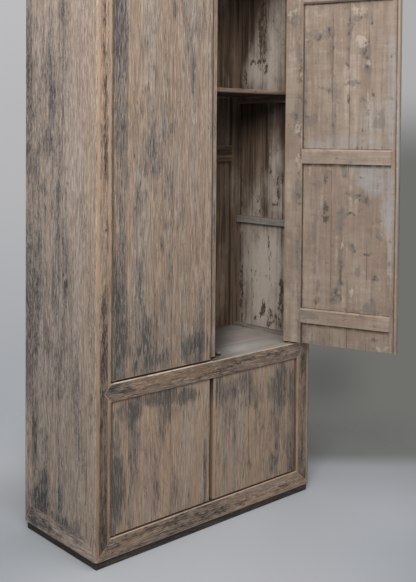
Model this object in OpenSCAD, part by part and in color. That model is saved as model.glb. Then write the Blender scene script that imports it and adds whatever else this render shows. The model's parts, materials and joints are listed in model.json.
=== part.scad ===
// Tall elm cabinet: two long leaves above a sill rail, two short leaves below it.
// Every leaf turns on round wooden pivots that are part of its hinge stile.
// Lengths are in millimetres. The front faces minus Y, the floor is at zero height,
// and the origin is the middle of the footprint.
// The upper right leaf stands open, as the piece is shown. The other leaves are closed.

/* [Cabinet] */
// Overall width
cabinet_w = 1000; // [900:5:1200]
// Overall depth
cabinet_d = 424; // [390:2:520]
// Overall height
cabinet_h = 2055; // [1950:5:2300]
// Radius of the two front upright corners
front_corner_r = 10; // [2:1:14]
// Radius of the two back upright corners
back_corner_r = 4; // [1:1:10]
// Rounding of the frame's edges round the door openings
edge_r = 3; // [3:0.5:5]

/* [Posts and rails] */
// Face width of the left front post
left_post_w = 58; // [54:1:75]
// Face width of the right front post
right_post_w = 72; // [54:1:85]
// Depth of the front posts and of the front rails
front_post_d = 50; // [46:1:60]
// Face width of the back posts
back_post_w = 58; // [50:1:70]
// Depth of the back posts and of the back rails
back_post_d = 44; // [40:1:56]
// Height of the top and bottom rails
end_rail_h = 63; // [52:1:80]
// Thickness of the side rails
side_rail_t = 40; // [34:1:48]
// Height of the sill rail and of the floor rails
sill_h = 60; // [50:1:75]
// Height of the top of the sill rail above the floor
sill_top = 583; // [480:1:700]
// How far the side floor rails stand above the sill
floor_rail_step = 11; // [2:1:16]
// Height of the middle back rail
back_rail_h = 64; // [40:1:90]
// Height of the middle back rail's lower edge above the floor
back_rail_z = 1260; // [1060:5:1380]
// Thickness of the middle back rail
back_rail_t = 20; // [14:1:26]

/* [Joints in the wood] */
// Thickness of the rail tenons
tenon_t = 14; // [10:1:18]
// Length of the rail tenons
tenon_l = 28; // [18:1:34]
// Set-in of a tenon from the upper and lower edges of its rail
tenon_shoulder = 12; // [6:1:15]
// Side of the square tenon inside each three-way mitred corner
corner_tenon = 16; // [10:1:18]
// Place of that tenon between the corner's outer and inner edges, as a share
corner_tenon_place = 0.6; // [0.5:0.02:0.65]
// Length of that tenon from the rail's inner edge
corner_tenon_l = 52; // [30:1:54]
// Reach of the sill rail's pointed shoulders into the posts
mitre_reach = 27; // [16:1:34]
// Depth of the sill rail's pointed shoulders
mitre_d = 13; // [8:1:16]
// Length of the side floor rails' tenons
side_tenon_l = 14; // [8:1:15]
// Least thickness of the cheeks beside the back rails' tenons
back_tenon_cheek = 3; // [2:0.5:6]
// Length of the back rails' tenons
back_tenon_l = 20; // [12:1:24]
// Length of the boards' tongues
tongue_l = 8; // [5:1:9]
// Thickness of the boards' tongues
tongue_t = 6; // [4:1:8]
// Seam left between two boards
board_seam = 0.3; // [0.2:0.1:0.8]

/* [Plinth] */
// Height of the plinth
plinth_h = 26; // [18:1:45]
// How far the plinth stands back from the frame
plinth_inset = 7; // [4:1:15]
// Thickness of the plinth strips
plinth_t = 26; // [20:1:34]
// Width of the rail across the middle of the plinth
plinth_cross_w = 60; // [40:2:90]

/* [Boards] */
// Thickness of the side boards
side_board_t = 12; // [10:1:15]
// Thickness of the back boards
back_board_t = 12; // [9:1:14]
// Distance from the cabinet's back to the outer face of the back boards
back_board_inset = 12; // [8:1:16]
// Number of boards in each back wall
back_board_count = 4; // [2:1:6]
// Thickness of the floor, bottom and top boards
flat_board_t = 16; // [12:1:20]
// How far the top boards lie below the top frame
top_board_drop = 4; // [2:1:8]
// How far the bottom boards lie below the bottom rail's top
bottom_board_drop = 6; // [3:1:12]
// Number of boards in each level surface
flat_board_count = 3; // [2:1:4]
// Width of the battens under the level boards
under_batten_w = 40; // [30:1:60]
// Height of the battens under the level boards
under_batten_h = 22; // [16:1:26]
// Set-in of a batten's tenons from its upper and lower faces
under_batten_shoulder = 5; // [3:1:7]
// Depth of the dovetail keys in the boards
key_d = 6; // [4:1:8]
// Width of the dovetail keys at the boards' face
key_w = 20; // [12:1:26]
// Extra width of the dovetail keys at their foot
key_flare = 8; // [4:1:12]

/* [Shelf] */
// Height of the shelf's top above the floor
shelf_top = 1537; // [1440:1:1700]
// Thickness of the shelf
shelf_t = 15; // [12:1:20]
// Distance from the cabinet's front to the shelf
shelf_setback = 70; // [62:1:120]
// Height of the groove along the shelf's front edge
shelf_groove_h = 3; // [2:0.5:5]
// Depth of the groove along the shelf's front edge
shelf_groove_d = 2.5; // [1:0.5:4]
// Height of the shelf cleats
cleat_h = 26; // [20:1:32]
// Thickness of the shelf cleats
cleat_t = 18; // [12:1:24]
// Height of the spare cleats' lower edge above the floor
spare_cleat_z = 1011; // [800:1:1180]

/* [Doors] */
// How far the leaves lie behind the cabinet's front face
door_recess = 8; // [6:0.5:12]
// Thickness of the leaves
leaf_t = 32; // [30:1:34]
// Share of the boards' width that the one beside the stile takes
wide_board_share = 0.52; // [0.4:0.01:0.6]
// Thickness of the leaves' boards
leaf_board_t = 25; // [22:1:27]
// Width of the hinge stiles
hinge_stile_w = 67; // [56:1:80]
// Width of the strip along each leaf's free edge
edge_strip_w = 10; // [8:1:16]
// Rounding of the free edges of the edge strips
strip_r = 2; // [1:0.5:3]
// Reach of the boards' tongues into the edge strip
edge_tongue_l = 4; // [3:0.5:6]
// Gap between a hinge stile and its post
hinge_gap = 3; // [2:0.5:4]
// Radius of the pivots
pivot_r = 9; // [7:0.5:9.5]
// Distance of the pivot's axis from the hinge edge, also that edge's rounding
pivot_in = 18; // [17:0.5:20]
// Distance of the pivot's axis from the leaf's front face
pivot_back = 12; // [11:0.5:13]
// Running clearance of a pivot in its socket
pivot_clearance = 0.08; // [0.02:0.01:0.1]
// Length of the lower pivot inside its socket
lower_pivot_l = 14; // [8:1:18]
// Length of the upper pivot inside its socket
upper_pivot_l = 20; // [12:1:24]
// Space beyond the end of a pivot in its socket
socket_end_gap = 0.3; // [0.3:0.1:2]
// Opening angle of the upper right leaf as it stands
open_angle = 110; // [0:1:110]

/* [Upper leaves] */
// Gap between the upper leaves when both are closed
upper_meeting_gap = 5.5; // [3:0.5:8]
// Distance of that gap from the middle of the opening, to the left
upper_meeting_shift = 2.25; // [0:0.25:10]
// Gap under the upper left leaf
upper_left_gap = 5; // [3:0.5:10]
// Gap under the upper right leaf
upper_right_gap = 8; // [3:0.5:12]
// Gap above the upper leaves
upper_head_gap = 7; // [3:0.5:12]
// Distance of the outer battens from the ends of an upper leaf
upper_batten_margin = 77; // [50:1:140]
// How far the middle batten lies above the middle of the leaf
middle_batten_raise = 3; // [0:0.5:20]

/* [Lower leaves] */
// Gap between the lower leaves
lower_meeting_gap = 15; // [4:0.5:20]
// Distance of that gap from the middle of the opening, to the right
lower_meeting_shift = 1.5; // [0:0.25:10]
// Gap under the lower leaves
lower_foot_gap = 4; // [2:0.5:8]
// Gap above the lower leaves
lower_head_gap = 3; // [2:0.5:8]
// Distance of the battens from the ends of a lower leaf
lower_batten_margin = 60; // [40:1:120]

/* [Battens on the leaves] */
// Height of a batten
leaf_batten_h = 53; // [40:1:70]
// Distance of a batten's end from the leaf's free edge
batten_end_gap = 22; // [20:1:40]
// Bevel on the free end of a batten
batten_bevel = 5; // [2:0.5:6]
// Thickness of a batten's tenon
batten_tenon_t = 8; // [5:0.5:10]
// Length of a batten's tenon in the hinge stile
batten_tenon_l = 12; // [6:1:16]

/* [Cover strip and stop] */
// Width of the cover strip behind the upper leaves' meeting edges
cover_strip_w = 68; // [56:1:80]
// How far the cover strip reaches behind the upper right leaf
cover_strip_lap = 45; // [30:1:50]
// Thickness of the cover strip
cover_strip_t = 12; // [8:1:16]
// Clearance between the cover strip and the right leaf
cover_clearance = 0.6; // [0.4:0.1:2]
// Gap between the cover strip and the sill
cover_foot_gap = 2; // [1.5:0.5:5]
// Width and depth of the door stop block
stop_block_w = 14; // [10:1:20]
// Height of the door stop block
stop_block_h = 15; // [10:1:22]
// Distance of the stop block from the middle of the opening
stop_block_shift = 60; // [57:1:90]

/* [Hidden] */
$fn = 48;
elm = [0.58, 0.51, 0.44];
elm_warm = [0.62, 0.51, 0.41];
elm_grey = [0.47, 0.43, 0.39];
inside_wood = [0.32, 0.26, 0.21];
painted_wood = [0.60, 0.54, 0.48];
plinth_wood = [0.17, 0.17, 0.14];
// Overlap by which a cut passes a face
cut = 1;
// Radius of a corner that stays sharp
sharp = 0.01;

x_left = -cabinet_w / 2;
x_right = cabinet_w / 2;
y_front = -cabinet_d / 2;
y_back = cabinet_d / 2;
y_front_post = y_front + front_post_d;
y_back_post = y_back - back_post_d;

z_frame = plinth_h;
z_low = plinth_h + end_rail_h;
z_sill_under = sill_top - sill_h;
z_high = cabinet_h - end_rail_h;

open_left = x_left + left_post_w;
open_right = x_right - right_post_w;
open_middle = (open_left + open_right) / 2;

px0 = x_left + plinth_inset;
px1 = x_right - plinth_inset;
py0 = y_front + plinth_inset;
py1 = y_back - plinth_inset;
px0_in = px0 + plinth_t;
px1_in = px1 - plinth_t;
py0_in = py0 + plinth_t;
py1_in = py1 - plinth_t;

board_x_left = x_left + side_rail_t;
board_x_right = x_right - side_rail_t;
y_back_board = y_back - back_board_inset - back_board_t;

y_leaf_front = y_front + door_recess;
y_leaf_back = y_leaf_front + leaf_t;
y_pivot = y_leaf_front + pivot_back;
x_pivot_left = open_left + hinge_gap + pivot_in;
x_pivot_right = open_right - hinge_gap - pivot_in;

upper_meeting_x = open_middle - upper_meeting_shift;
lower_meeting_x = open_middle + lower_meeting_shift;
upper_left_reach = upper_meeting_x - upper_meeting_gap / 2 - x_pivot_left;
upper_right_reach = x_pivot_right - upper_meeting_x - upper_meeting_gap / 2;
lower_left_reach = lower_meeting_x - lower_meeting_gap / 2 - x_pivot_left;
lower_right_reach = x_pivot_right - lower_meeting_x - lower_meeting_gap / 2;

upper_left_foot = sill_top + upper_left_gap;
upper_right_foot = sill_top + upper_right_gap;
upper_head = z_high - upper_head_gap;
lower_foot = z_low + lower_foot_gap;
lower_head = z_sill_under - lower_head_gap;

// A box from one corner point to the opposite one
module box(low, high) {
    translate(low) cube(high - low);
}

// A long solid with the outline that it shows from the front, as x and z
module seen_from_front(points) {
    translate([0, cabinet_d, 0]) rotate([90, 0, 0]) linear_extrude(2 * cabinet_d) polygon(points);
}

// A long solid with the outline that it shows from the side, as y and z
module seen_from_side(points) {
    translate([-cabinet_w, 0, 0]) rotate([90, 0, 90]) linear_extrude(2 * cabinet_w) polygon(points);
}

// A tall solid with the outline that it shows from above, as x and y
module seen_from_above(points) {
    linear_extrude(2 * cabinet_h) polygon(points);
}

// A flat rectangle from zero to size, with a radius for each corner
module soft_rect(size, r) {
    w = size.x;
    h = size.y;
    polygon([
        [r[0], 0], [w - r[1], 0], [w, r[1]], [w, h - r[2]],
        [w - r[2], h], [r[3], h], [0, h - r[3]], [0, r[0]]
    ]);
    translate([r[0], r[0]]) circle(r[0]);
    translate([w - r[1], r[1]]) circle(r[1]);
    translate([w - r[2], h - r[2]]) circle(r[2]);
    translate([r[3], h - r[3]]) circle(r[3]);
}

// The whole cabinet's rounded outline, which every outer piece keeps inside
module envelope() {
    radii = [front_corner_r, front_corner_r, back_corner_r, back_corner_r];
    translate([x_left, y_front, 0]) linear_extrude(cabinet_h) soft_rect([cabinet_w, cabinet_d], radii);
}

// The wood that rounding takes off an upright edge: the corner lies at the origin,
// and the post fills the quarter with negative x and positive y
module upright_edge_waste(z0, z1) {
    translate([0, 0, z0]) difference() {
        translate([-edge_r, -cut, 0]) cube([edge_r + cut, edge_r + cut, z1 - z0]);
        translate([-edge_r, edge_r, -cut]) cylinder(z1 - z0 + 2 * cut, edge_r, edge_r);
    }
}

// The wood that rounding takes off a level front edge that lies along x at the origin,
// with the rail below it
module level_edge_waste(x0, x1) {
    translate([x0, 0, 0]) difference() {
        translate([0, -cut, -edge_r]) cube([x1 - x0, edge_r + cut, edge_r + cut]);
        translate([-cut, edge_r, -edge_r]) rotate([0, 90, 0]) cylinder(x1 - x0 + 2 * cut, edge_r, edge_r);
    }
}

// Outlines of the three-way mitred frame. Post, front rail and side rail share each
// corner block along planes through its outer point, so each shows a mitre on both faces.
function front_rail_plan() = [
    [x_left, y_front], [x_right, y_front], [open_right, y_front_post], [open_left, y_front_post]
];
function back_rail_plan() = [
    [x_left, y_back], [x_left + back_post_w, y_back_post], [x_right - back_post_w, y_back_post],
    [x_right, y_back]
];
function side_rail_plan(outer, inward, front_w) = [
    [outer, y_front], [outer, y_back],
    [outer + inward * back_post_w, y_back_post], [outer + inward * side_rail_t, y_back_post],
    [outer + inward * side_rail_t, y_front_post], [outer + inward * front_w, y_front_post]
];
function rail_face(a0, a1, b0, b1, outer_z, inner_z) = [
    [a0, outer_z], [a1, outer_z], [b1, inner_z], [b0, inner_z]
];
function post_face(outer, inner) = [
    [outer, z_frame], [inner, z_low], [inner, z_high], [outer, cabinet_h]
];

// Square tenons that a post sends down and up into its two rails
module corner_tenons(outer_x, outer_y, inner_x, inner_y) {
    cx = outer_x + corner_tenon_place * (inner_x - outer_x);
    cy = outer_y + corner_tenon_place * (inner_y - outer_y);
    for (z = [z_low - corner_tenon_l, z_high])
        translate([cx - corner_tenon / 2, cy - corner_tenon / 2, z])
            cube([corner_tenon, corner_tenon, corner_tenon_l]);
}

module all_corner_tenons() {
    corner_tenons(x_left, y_front, open_left, y_front_post);
    corner_tenons(x_right, y_front, open_right, y_front_post);
    corner_tenons(x_left, y_back, x_left + back_post_w, y_back_post);
    corner_tenons(x_right, y_back, x_right - back_post_w, y_back_post);
}

// A post between the mitred frames, before its joints are cut
module post_blank(outer_x, outer_y, inner_x, inner_y) {
    intersection() {
        envelope();
        box([min(outer_x, inner_x), min(outer_y, inner_y), 0],
            [max(outer_x, inner_x), max(outer_y, inner_y), cabinet_h]);
        seen_from_front(post_face(outer_x, inner_x));
        seen_from_side(post_face(outer_y, inner_y));
    }
    corner_tenons(outer_x, outer_y, inner_x, inner_y);
}

// A front or back rail with mitred ends, at the foot or at the head of the frame
module long_rail(plan, left_w, right_w, outer_z, inner_z) {
    intersection() {
        envelope();
        seen_from_above(plan);
        seen_from_front(rail_face(x_left, x_right, x_left + left_w, x_right - right_w, outer_z, inner_z));
    }
}

// A side rail with mitred ends, at the foot or at the head of the frame
module side_rail(outer, inward, front_w, outer_z, inner_z) {
    intersection() {
        envelope();
        seen_from_above(side_rail_plan(outer, inward, front_w));
        seen_from_side(rail_face(y_front, y_back, y_front_post, y_back_post, outer_z, inner_z));
    }
}

// The sill rail with its pointed shoulders and tenons
module sill_blank() {
    z_mid = (z_sill_under + sill_top) / 2;
    box([open_left, y_front, z_sill_under], [open_right, y_front_post, sill_top]);
    intersection() {
        box([x_left, y_front, z_sill_under], [x_right, y_front + mitre_d, sill_top]);
        seen_from_front([
            [open_left - mitre_reach, z_mid], [open_left, z_sill_under], [open_right, z_sill_under],
            [open_right + mitre_reach, z_mid], [open_right, sill_top], [open_left, sill_top]
        ]);
    }
    box([open_left - tenon_l, y_front + mitre_d, z_sill_under + tenon_shoulder],
        [open_right + tenon_l, y_front + mitre_d + tenon_t, sill_top - tenon_shoulder]);
}

// A side floor rail, inside the side boards, with its tenons
module floor_rail_side(side) {
    outer = side * (cabinet_w / 2 - side_board_t);
    inner = side * (cabinet_w / 2 - side_rail_t);
    z1 = sill_top + floor_rail_step;
    z0 = z_sill_under;
    mid = (outer + inner) / 2;
    box([min(outer, inner), y_front_post, z0], [max(outer, inner), y_back_post, z1]);
    box([mid - tenon_t / 2, y_front_post - side_tenon_l, z0 + tenon_shoulder],
        [mid + tenon_t / 2, y_back_post + side_tenon_l, z1 - tenon_shoulder]);
}

// A back rail with tenons, between the back posts
module back_cross_rail(z0, z1, y1) {
    y_mid = (y_back_post + y1) / 2;
    t = min(tenon_t, y1 - y_back_post - 2 * back_tenon_cheek);
    box([x_left + back_post_w, y_back_post, z0], [x_right - back_post_w, y1, z1]);
    box([x_left + back_post_w - back_tenon_l, y_mid - t / 2, z0 + tenon_shoulder],
        [x_right - back_post_w + back_tenon_l, y_mid + t / 2, z1 - tenon_shoulder]);
}

module back_rails_blank() {
    back_cross_rail(z_sill_under, sill_top, y_back);
    back_cross_rail(back_rail_z, back_rail_z + back_rail_h, y_back_post + back_rail_t);
}

// One side wall with a tongue on all four edges
module side_wall(side) {
    outer = side * cabinet_w / 2;
    inner = outer - side * side_board_t;
    mid = (outer + inner) / 2;
    box([min(outer, inner), y_front_post, z_low], [max(outer, inner), y_back_post, z_high]);
    box([mid - tongue_t / 2, y_front_post - tongue_l, z_low - tongue_l],
        [mid + tongue_t / 2, y_back_post + tongue_l, z_high + tongue_l]);
}

// One back wall, let into the posts and rails all round
module back_wall(z0, z1) {
    box([x_left + back_post_w - tongue_l, y_back_board, z0 - tongue_l],
        [x_right - back_post_w + tongue_l, y_back_board + back_board_t, z1 + tongue_l]);
}

module back_walls() {
    back_wall(z_low, z_sill_under);
    back_wall(sill_top, z_high);
}

// A level surface of boards between the rails, with a tongue on all four edges
module level_surface(z_top) {
    z0 = z_top - flat_board_t;
    z_mid = z_top - flat_board_t / 2;
    box([board_x_left, y_front_post, z0], [board_x_right, y_back_post, z_top]);
    box([board_x_left - tongue_l, y_front_post - tongue_l, z_mid - tongue_t / 2],
        [board_x_right + tongue_l, y_back_post + tongue_l, z_mid + tongue_t / 2]);
}

module level_surfaces() {
    level_surface(cabinet_h - top_board_drop);
    level_surface(sill_top);
    level_surface(z_low - bottom_board_drop);
}

// The outline of a batten's dovetail key: its root lies on the x axis and its foot above it
module dovetail_key() {
    root = key_w / 2;
    tip = (key_w + key_flare) / 2;
    polygon([[-root, -cut], [root, -cut], [root, 0], [tip, key_d], [-tip, key_d], [-root, 0]]);
}

// Two battens under a level surface, each with a dovetail key along the boards
module under_battens(z_top) {
    z_board = z_top - flat_board_t;
    for (x = [-cabinet_w / 5, cabinet_w / 5]) {
        box([x - under_batten_w / 2, y_front_post, z_board - under_batten_h],
            [x + under_batten_w / 2, y_back_post, z_board]);
        box([x - tenon_t, y_front_post - tongue_l, z_board - under_batten_h + under_batten_shoulder],
            [x + tenon_t, y_back_post + tongue_l, z_board - under_batten_shoulder]);
        translate([x, y_back_post, z_board])
            rotate([90, 0, 0])
                linear_extrude(y_back_post - y_front_post) dovetail_key();
    }
}

module all_under_battens() {
    under_battens(cabinet_h - top_board_drop);
    under_battens(sill_top);
    under_battens(z_low - bottom_board_drop);
}

// Seams that part a wall or a level surface into boards
module upright_seams_along_y(count) {
    step = (y_back_post - y_front_post) / count;
    for (i = [1:count - 1])
        translate([-cabinet_w, y_front_post + i * step - board_seam / 2, 0])
            cube([2 * cabinet_w, board_seam, cabinet_h]);
}

module upright_seams_along_x(count) {
    step = (cabinet_w - 2 * back_post_w) / count;
    for (i = [1:count - 1])
        translate([x_left + back_post_w + i * step - board_seam / 2, 0, 0])
            cube([board_seam, cabinet_d, cabinet_h]);
}

// Sockets for the pivots, cut in the rails above and below the leaves
module pivot_sockets() {
    r = pivot_r + pivot_clearance;
    for (x = [x_pivot_left, x_pivot_right]) {
        for (z = [z_low, sill_top])
            translate([x, y_pivot, z - lower_pivot_l - socket_end_gap])
                cylinder(lower_pivot_l + socket_end_gap + cut, r, r);
        for (z = [z_sill_under, z_high])
            translate([x, y_pivot, z - cut])
                cylinder(upper_pivot_l + socket_end_gap + cut, r, r);
    }
}

// Everything that the posts are mortised or grooved for
module joints_in_posts() {
    sill_blank();
    floor_rail_side(-1);
    floor_rail_side(1);
    back_rails_blank();
    side_wall(-1);
    side_wall(1);
    back_walls();
    level_surfaces();
}

// Everything that the top, bottom, sill and back rails are grooved for
module joints_in_rails() {
    all_corner_tenons();
    side_wall(-1);
    side_wall(1);
    back_walls();
    level_surfaces();
    all_under_battens();
}

// Posts

module front_post_edges(x, flip) {
    translate([x, y_front, 0]) mirror([flip, 0, 0]) {
        upright_edge_waste(z_low, z_sill_under);
        upright_edge_waste(sill_top, z_high);
    }
}

module front_post_left() {
    color(elm_warm) difference() {
        post_blank(x_left, y_front, open_left, y_front_post);
        joints_in_posts();
        front_post_edges(open_left, 0);
    }
}

module front_post_right() {
    color(elm_warm) difference() {
        post_blank(x_right, y_front, open_right, y_front_post);
        joints_in_posts();
        front_post_edges(open_right, 1);
    }
}

module back_post_left() {
    color(elm) difference() {
        post_blank(x_left, y_back, x_left + back_post_w, y_back_post);
        joints_in_posts();
    }
}

module back_post_right() {
    color(elm) difference() {
        post_blank(x_right, y_back, x_right - back_post_w, y_back_post);
        joints_in_posts();
    }
}

// Top frame

module top_rail_front() {
    color(elm) difference() {
        long_rail(front_rail_plan(), left_post_w, right_post_w, cabinet_h, z_high);
        joints_in_rails();
        pivot_sockets();
        translate([0, y_front, z_high]) mirror([0, 0, 1]) level_edge_waste(open_left, open_right);
    }
}

module top_rail_back() {
    color(elm) difference() {
        long_rail(back_rail_plan(), back_post_w, back_post_w, cabinet_h, z_high);
        joints_in_rails();
    }
}

module top_rail_left() {
    color(elm) difference() {
        side_rail(x_left, 1, left_post_w, cabinet_h, z_high);
        joints_in_rails();
    }
}

module top_rail_right() {
    color(elm) difference() {
        side_rail(x_right, -1, right_post_w, cabinet_h, z_high);
        joints_in_rails();
    }
}

// Bottom frame

module bottom_rail_front() {
    color(elm) difference() {
        long_rail(front_rail_plan(), left_post_w, right_post_w, z_frame, z_low);
        joints_in_rails();
        pivot_sockets();
        translate([0, y_front, z_low]) level_edge_waste(open_left, open_right);
    }
}

module bottom_rail_back() {
    color(elm) difference() {
        long_rail(back_rail_plan(), back_post_w, back_post_w, z_frame, z_low);
        joints_in_rails();
    }
}

module bottom_rail_left() {
    color(elm) difference() {
        side_rail(x_left, 1, left_post_w, z_frame, z_low);
        joints_in_rails();
    }
}

module bottom_rail_right() {
    color(elm) difference() {
        side_rail(x_right, -1, right_post_w, z_frame, z_low);
        joints_in_rails();
    }
}

// Middle rails

module sill_rail() {
    color(elm_warm) difference() {
        sill_blank();
        level_surfaces();
        all_under_battens();
        pivot_sockets();
        translate([0, y_front, sill_top]) level_edge_waste(open_left, open_right);
        translate([0, y_front, z_sill_under]) mirror([0, 0, 1]) level_edge_waste(open_left, open_right);
    }
}

module floor_rail_left() {
    color(inside_wood) difference() {
        floor_rail_side(-1);
        level_surfaces();
    }
}

module floor_rail_right() {
    color(inside_wood) difference() {
        floor_rail_side(1);
        level_surfaces();
    }
}

module floor_rail_back() {
    color(inside_wood) difference() {
        back_cross_rail(z_sill_under, sill_top, y_back);
        level_surfaces();
        all_under_battens();
        back_walls();
    }
}

module back_rail_middle() {
    color(inside_wood) back_cross_rail(back_rail_z, back_rail_z + back_rail_h, y_back_post + back_rail_t);
}

// Plinth

module plinth_outline(points) {
    color(plinth_wood) linear_extrude(plinth_h) polygon(points);
}

module plinth_front() {
    plinth_outline([[px0, py0], [px1, py0], [px1_in, py0_in], [px0_in, py0_in]]);
}

module plinth_back() {
    plinth_outline([[px0, py1], [px0_in, py1_in], [px1_in, py1_in], [px1, py1]]);
}

module plinth_left() {
    plinth_outline([[px0, py0], [px0_in, py0_in], [px0_in, py1_in], [px0, py1]]);
}

module plinth_right() {
    plinth_outline([[px1, py0], [px1, py1], [px1_in, py1_in], [px1_in, py0_in]]);
}

module plinth_cross_rail() {
    color(plinth_wood)
        box([-plinth_cross_w / 2, py0_in, 0], [plinth_cross_w / 2, py1_in, plinth_h]);
}

// Boards

module top_boards() {
    color(elm_grey) difference() {
        level_surface(cabinet_h - top_board_drop);
        upright_seams_along_y(flat_board_count);
        under_battens(cabinet_h - top_board_drop);
    }
}

module top_battens() {
    color(inside_wood) under_battens(cabinet_h - top_board_drop);
}

module floor_boards() {
    color(elm_grey) difference() {
        level_surface(sill_top);
        upright_seams_along_y(flat_board_count);
        under_battens(sill_top);
    }
}

module floor_battens() {
    color(inside_wood) under_battens(sill_top);
}

module bottom_boards() {
    color(inside_wood) difference() {
        level_surface(z_low - bottom_board_drop);
        upright_seams_along_y(flat_board_count);
        under_battens(z_low - bottom_board_drop);
    }
}

module bottom_battens() {
    color(inside_wood) under_battens(z_low - bottom_board_drop);
}

module side_boards_left() {
    color(elm) difference() {
        side_wall(-1);
        upright_seams_along_y(2);
    }
}

module side_boards_right() {
    color(elm) difference() {
        side_wall(1);
        upright_seams_along_y(2);
    }
}

module back_boards_upper() {
    color(inside_wood) difference() {
        back_wall(sill_top, z_high);
        upright_seams_along_x(back_board_count);
    }
}

module back_boards_lower() {
    color(inside_wood) difference() {
        back_wall(z_low, z_sill_under);
        upright_seams_along_x(back_board_count);
    }
}

// Shelf, cleats and stop

module shelf() {
    x0 = x_left + side_board_t;
    x1 = x_right - side_board_t;
    y0 = y_front + shelf_setback;
    z_groove = shelf_top - shelf_t / 2 - shelf_groove_h / 2;
    color(elm_grey) difference() {
        box([x0, y0, shelf_top - shelf_t], [x1, y_back_post, shelf_top]);
        box([x0 - cut, y0 - cut, z_groove], [x1 + cut, y0 + shelf_groove_d, z_groove + shelf_groove_h]);
    }
}

module cleat(side, z0) {
    outer = side * (cabinet_w / 2 - side_board_t);
    inner = outer - side * cleat_t;
    color(inside_wood)
        box([min(outer, inner), y_front_post, z0], [max(outer, inner), y_back_post, z0 + cleat_h]);
}

module shelf_cleat_left() {
    cleat(-1, shelf_top - shelf_t - cleat_h);
}

module shelf_cleat_right() {
    cleat(1, shelf_top - shelf_t - cleat_h);
}

module spare_cleat_left() {
    cleat(-1, spare_cleat_z);
}

module spare_cleat_right() {
    cleat(1, spare_cleat_z);
}

module door_stop_block() {
    x0 = open_middle + stop_block_shift;
    y0 = y_leaf_back + cover_clearance;
    translate([x0, y0, sill_top])
        color(elm_warm) cube([stop_block_w, stop_block_w, stop_block_h]);
}

// Leaves. Each is drawn with its pivot's axis at the origin and its boards along plus x,
// with its front face towards minus y.

leaf_face = -pivot_back;
leaf_inner = leaf_t - pivot_back;
board_inner = leaf_board_t - pivot_back;
stile_x = hinge_stile_w - pivot_in;

// The tongue along an edge of the leaf's boards, from one end of the leaf to the other
module leaf_tongue(x0, x1, foot, head) {
    y_mid = (leaf_face + board_inner) / 2;
    box([x0, y_mid - tongue_t / 2, foot], [x1, y_mid + tongue_t / 2, head]);
}

// One sliding batten: a bevelled bar, a dovetail key in the boards and a tenon in the stile
module leaf_batten(reach, z) {
    x_end = reach - batten_end_gap;
    z_mid = z + leaf_batten_h / 2;
    translate([0, 0, z]) linear_extrude(leaf_batten_h) polygon([
        [stile_x, board_inner], [x_end, board_inner],
        [x_end - batten_bevel, leaf_inner], [stile_x, leaf_inner]
    ]);
    translate([stile_x, board_inner, z_mid]) rotate([90, 0, 90])
        linear_extrude(x_end - batten_bevel - stile_x) rotate(90) dovetail_key();
    box([stile_x - batten_tenon_l, board_inner - batten_tenon_t / 2, z + tenon_shoulder],
        [stile_x, board_inner + batten_tenon_t / 2, z + leaf_batten_h - tenon_shoulder]);
}

module leaf_battens(reach, heights) {
    for (z = heights)
        leaf_batten(reach, z);
}

// The hinge stile, with its edge rounded about the pivot and a pivot at each end
module leaf_stile(reach, foot, head, heights, foot_gap, head_gap) {
    difference() {
        union() {
            translate([0, 0, foot]) linear_extrude(head - foot) {
                intersection() {
                    circle(pivot_in);
                    translate([-pivot_in, leaf_face]) square([pivot_in, pivot_back]);
                }
                translate([-pivot_in, 0]) square([pivot_in, leaf_inner]);
                translate([0, leaf_face]) square([stile_x, leaf_t]);
            }
            translate([0, 0, foot - foot_gap - lower_pivot_l])
                cylinder(foot_gap + lower_pivot_l + cut, pivot_r, pivot_r);
            translate([0, 0, head - cut])
                cylinder(head_gap + upper_pivot_l + cut, pivot_r, pivot_r);
        }
        leaf_tongue(stile_x - tongue_l, stile_x + cut, foot - cut, head + cut);
        leaf_battens(reach, heights);
    }
}

// The leaf's boards, in two widths, with tongues in the stile and in the edge strip
module leaf_boards(reach, foot, head, heights) {
    x1 = reach - edge_strip_w;
    x_seam = stile_x + (x1 - stile_x) * wide_board_share;
    difference() {
        union() {
            box([stile_x, leaf_face, foot], [x1, board_inner, head]);
            leaf_tongue(stile_x - tongue_l, x1 + edge_tongue_l, foot, head);
        }
        box([x_seam, leaf_face - cut, foot - cut], [x_seam + board_seam, board_inner + cut, head + cut]);
        leaf_battens(reach, heights);
    }
}

// The strip along the leaf's free edge, as thick as the stile
module leaf_edge_strip(reach, foot, head) {
    x0 = reach - edge_strip_w;
    difference() {
        translate([x0, leaf_face, foot])
            linear_extrude(head - foot) soft_rect([edge_strip_w, leaf_t], [sharp, strip_r, strip_r, sharp]);
        leaf_tongue(x0 - cut, x0 + edge_tongue_l, foot - cut, head + cut);
    }
}

// The strip behind the free edge of the upper left leaf. It laps behind the right leaf.
module leaf_cover_strip(reach, head) {
    foot = sill_top + cover_foot_gap;
    x1 = reach + cover_strip_lap + upper_meeting_gap;
    x0 = x1 - cover_strip_w;
    translate([0, 0, foot]) linear_extrude(head - foot) polygon([
        [x0, leaf_inner + cover_strip_t], [x0, leaf_inner], [reach, leaf_inner],
        [reach, leaf_inner + cover_clearance], [x1, leaf_inner + cover_clearance],
        [x1, leaf_inner + cover_strip_t]
    ]);
}

// Places for a leaf on the left or on the right post, opened by an angle
module hung_left(angle) {
    translate([x_pivot_left, y_pivot, 0]) rotate([0, 0, -angle]) children();
}

module hung_right(angle) {
    translate([x_pivot_right, y_pivot, 0]) rotate([0, 0, angle]) mirror([1, 0, 0]) children();
}

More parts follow.
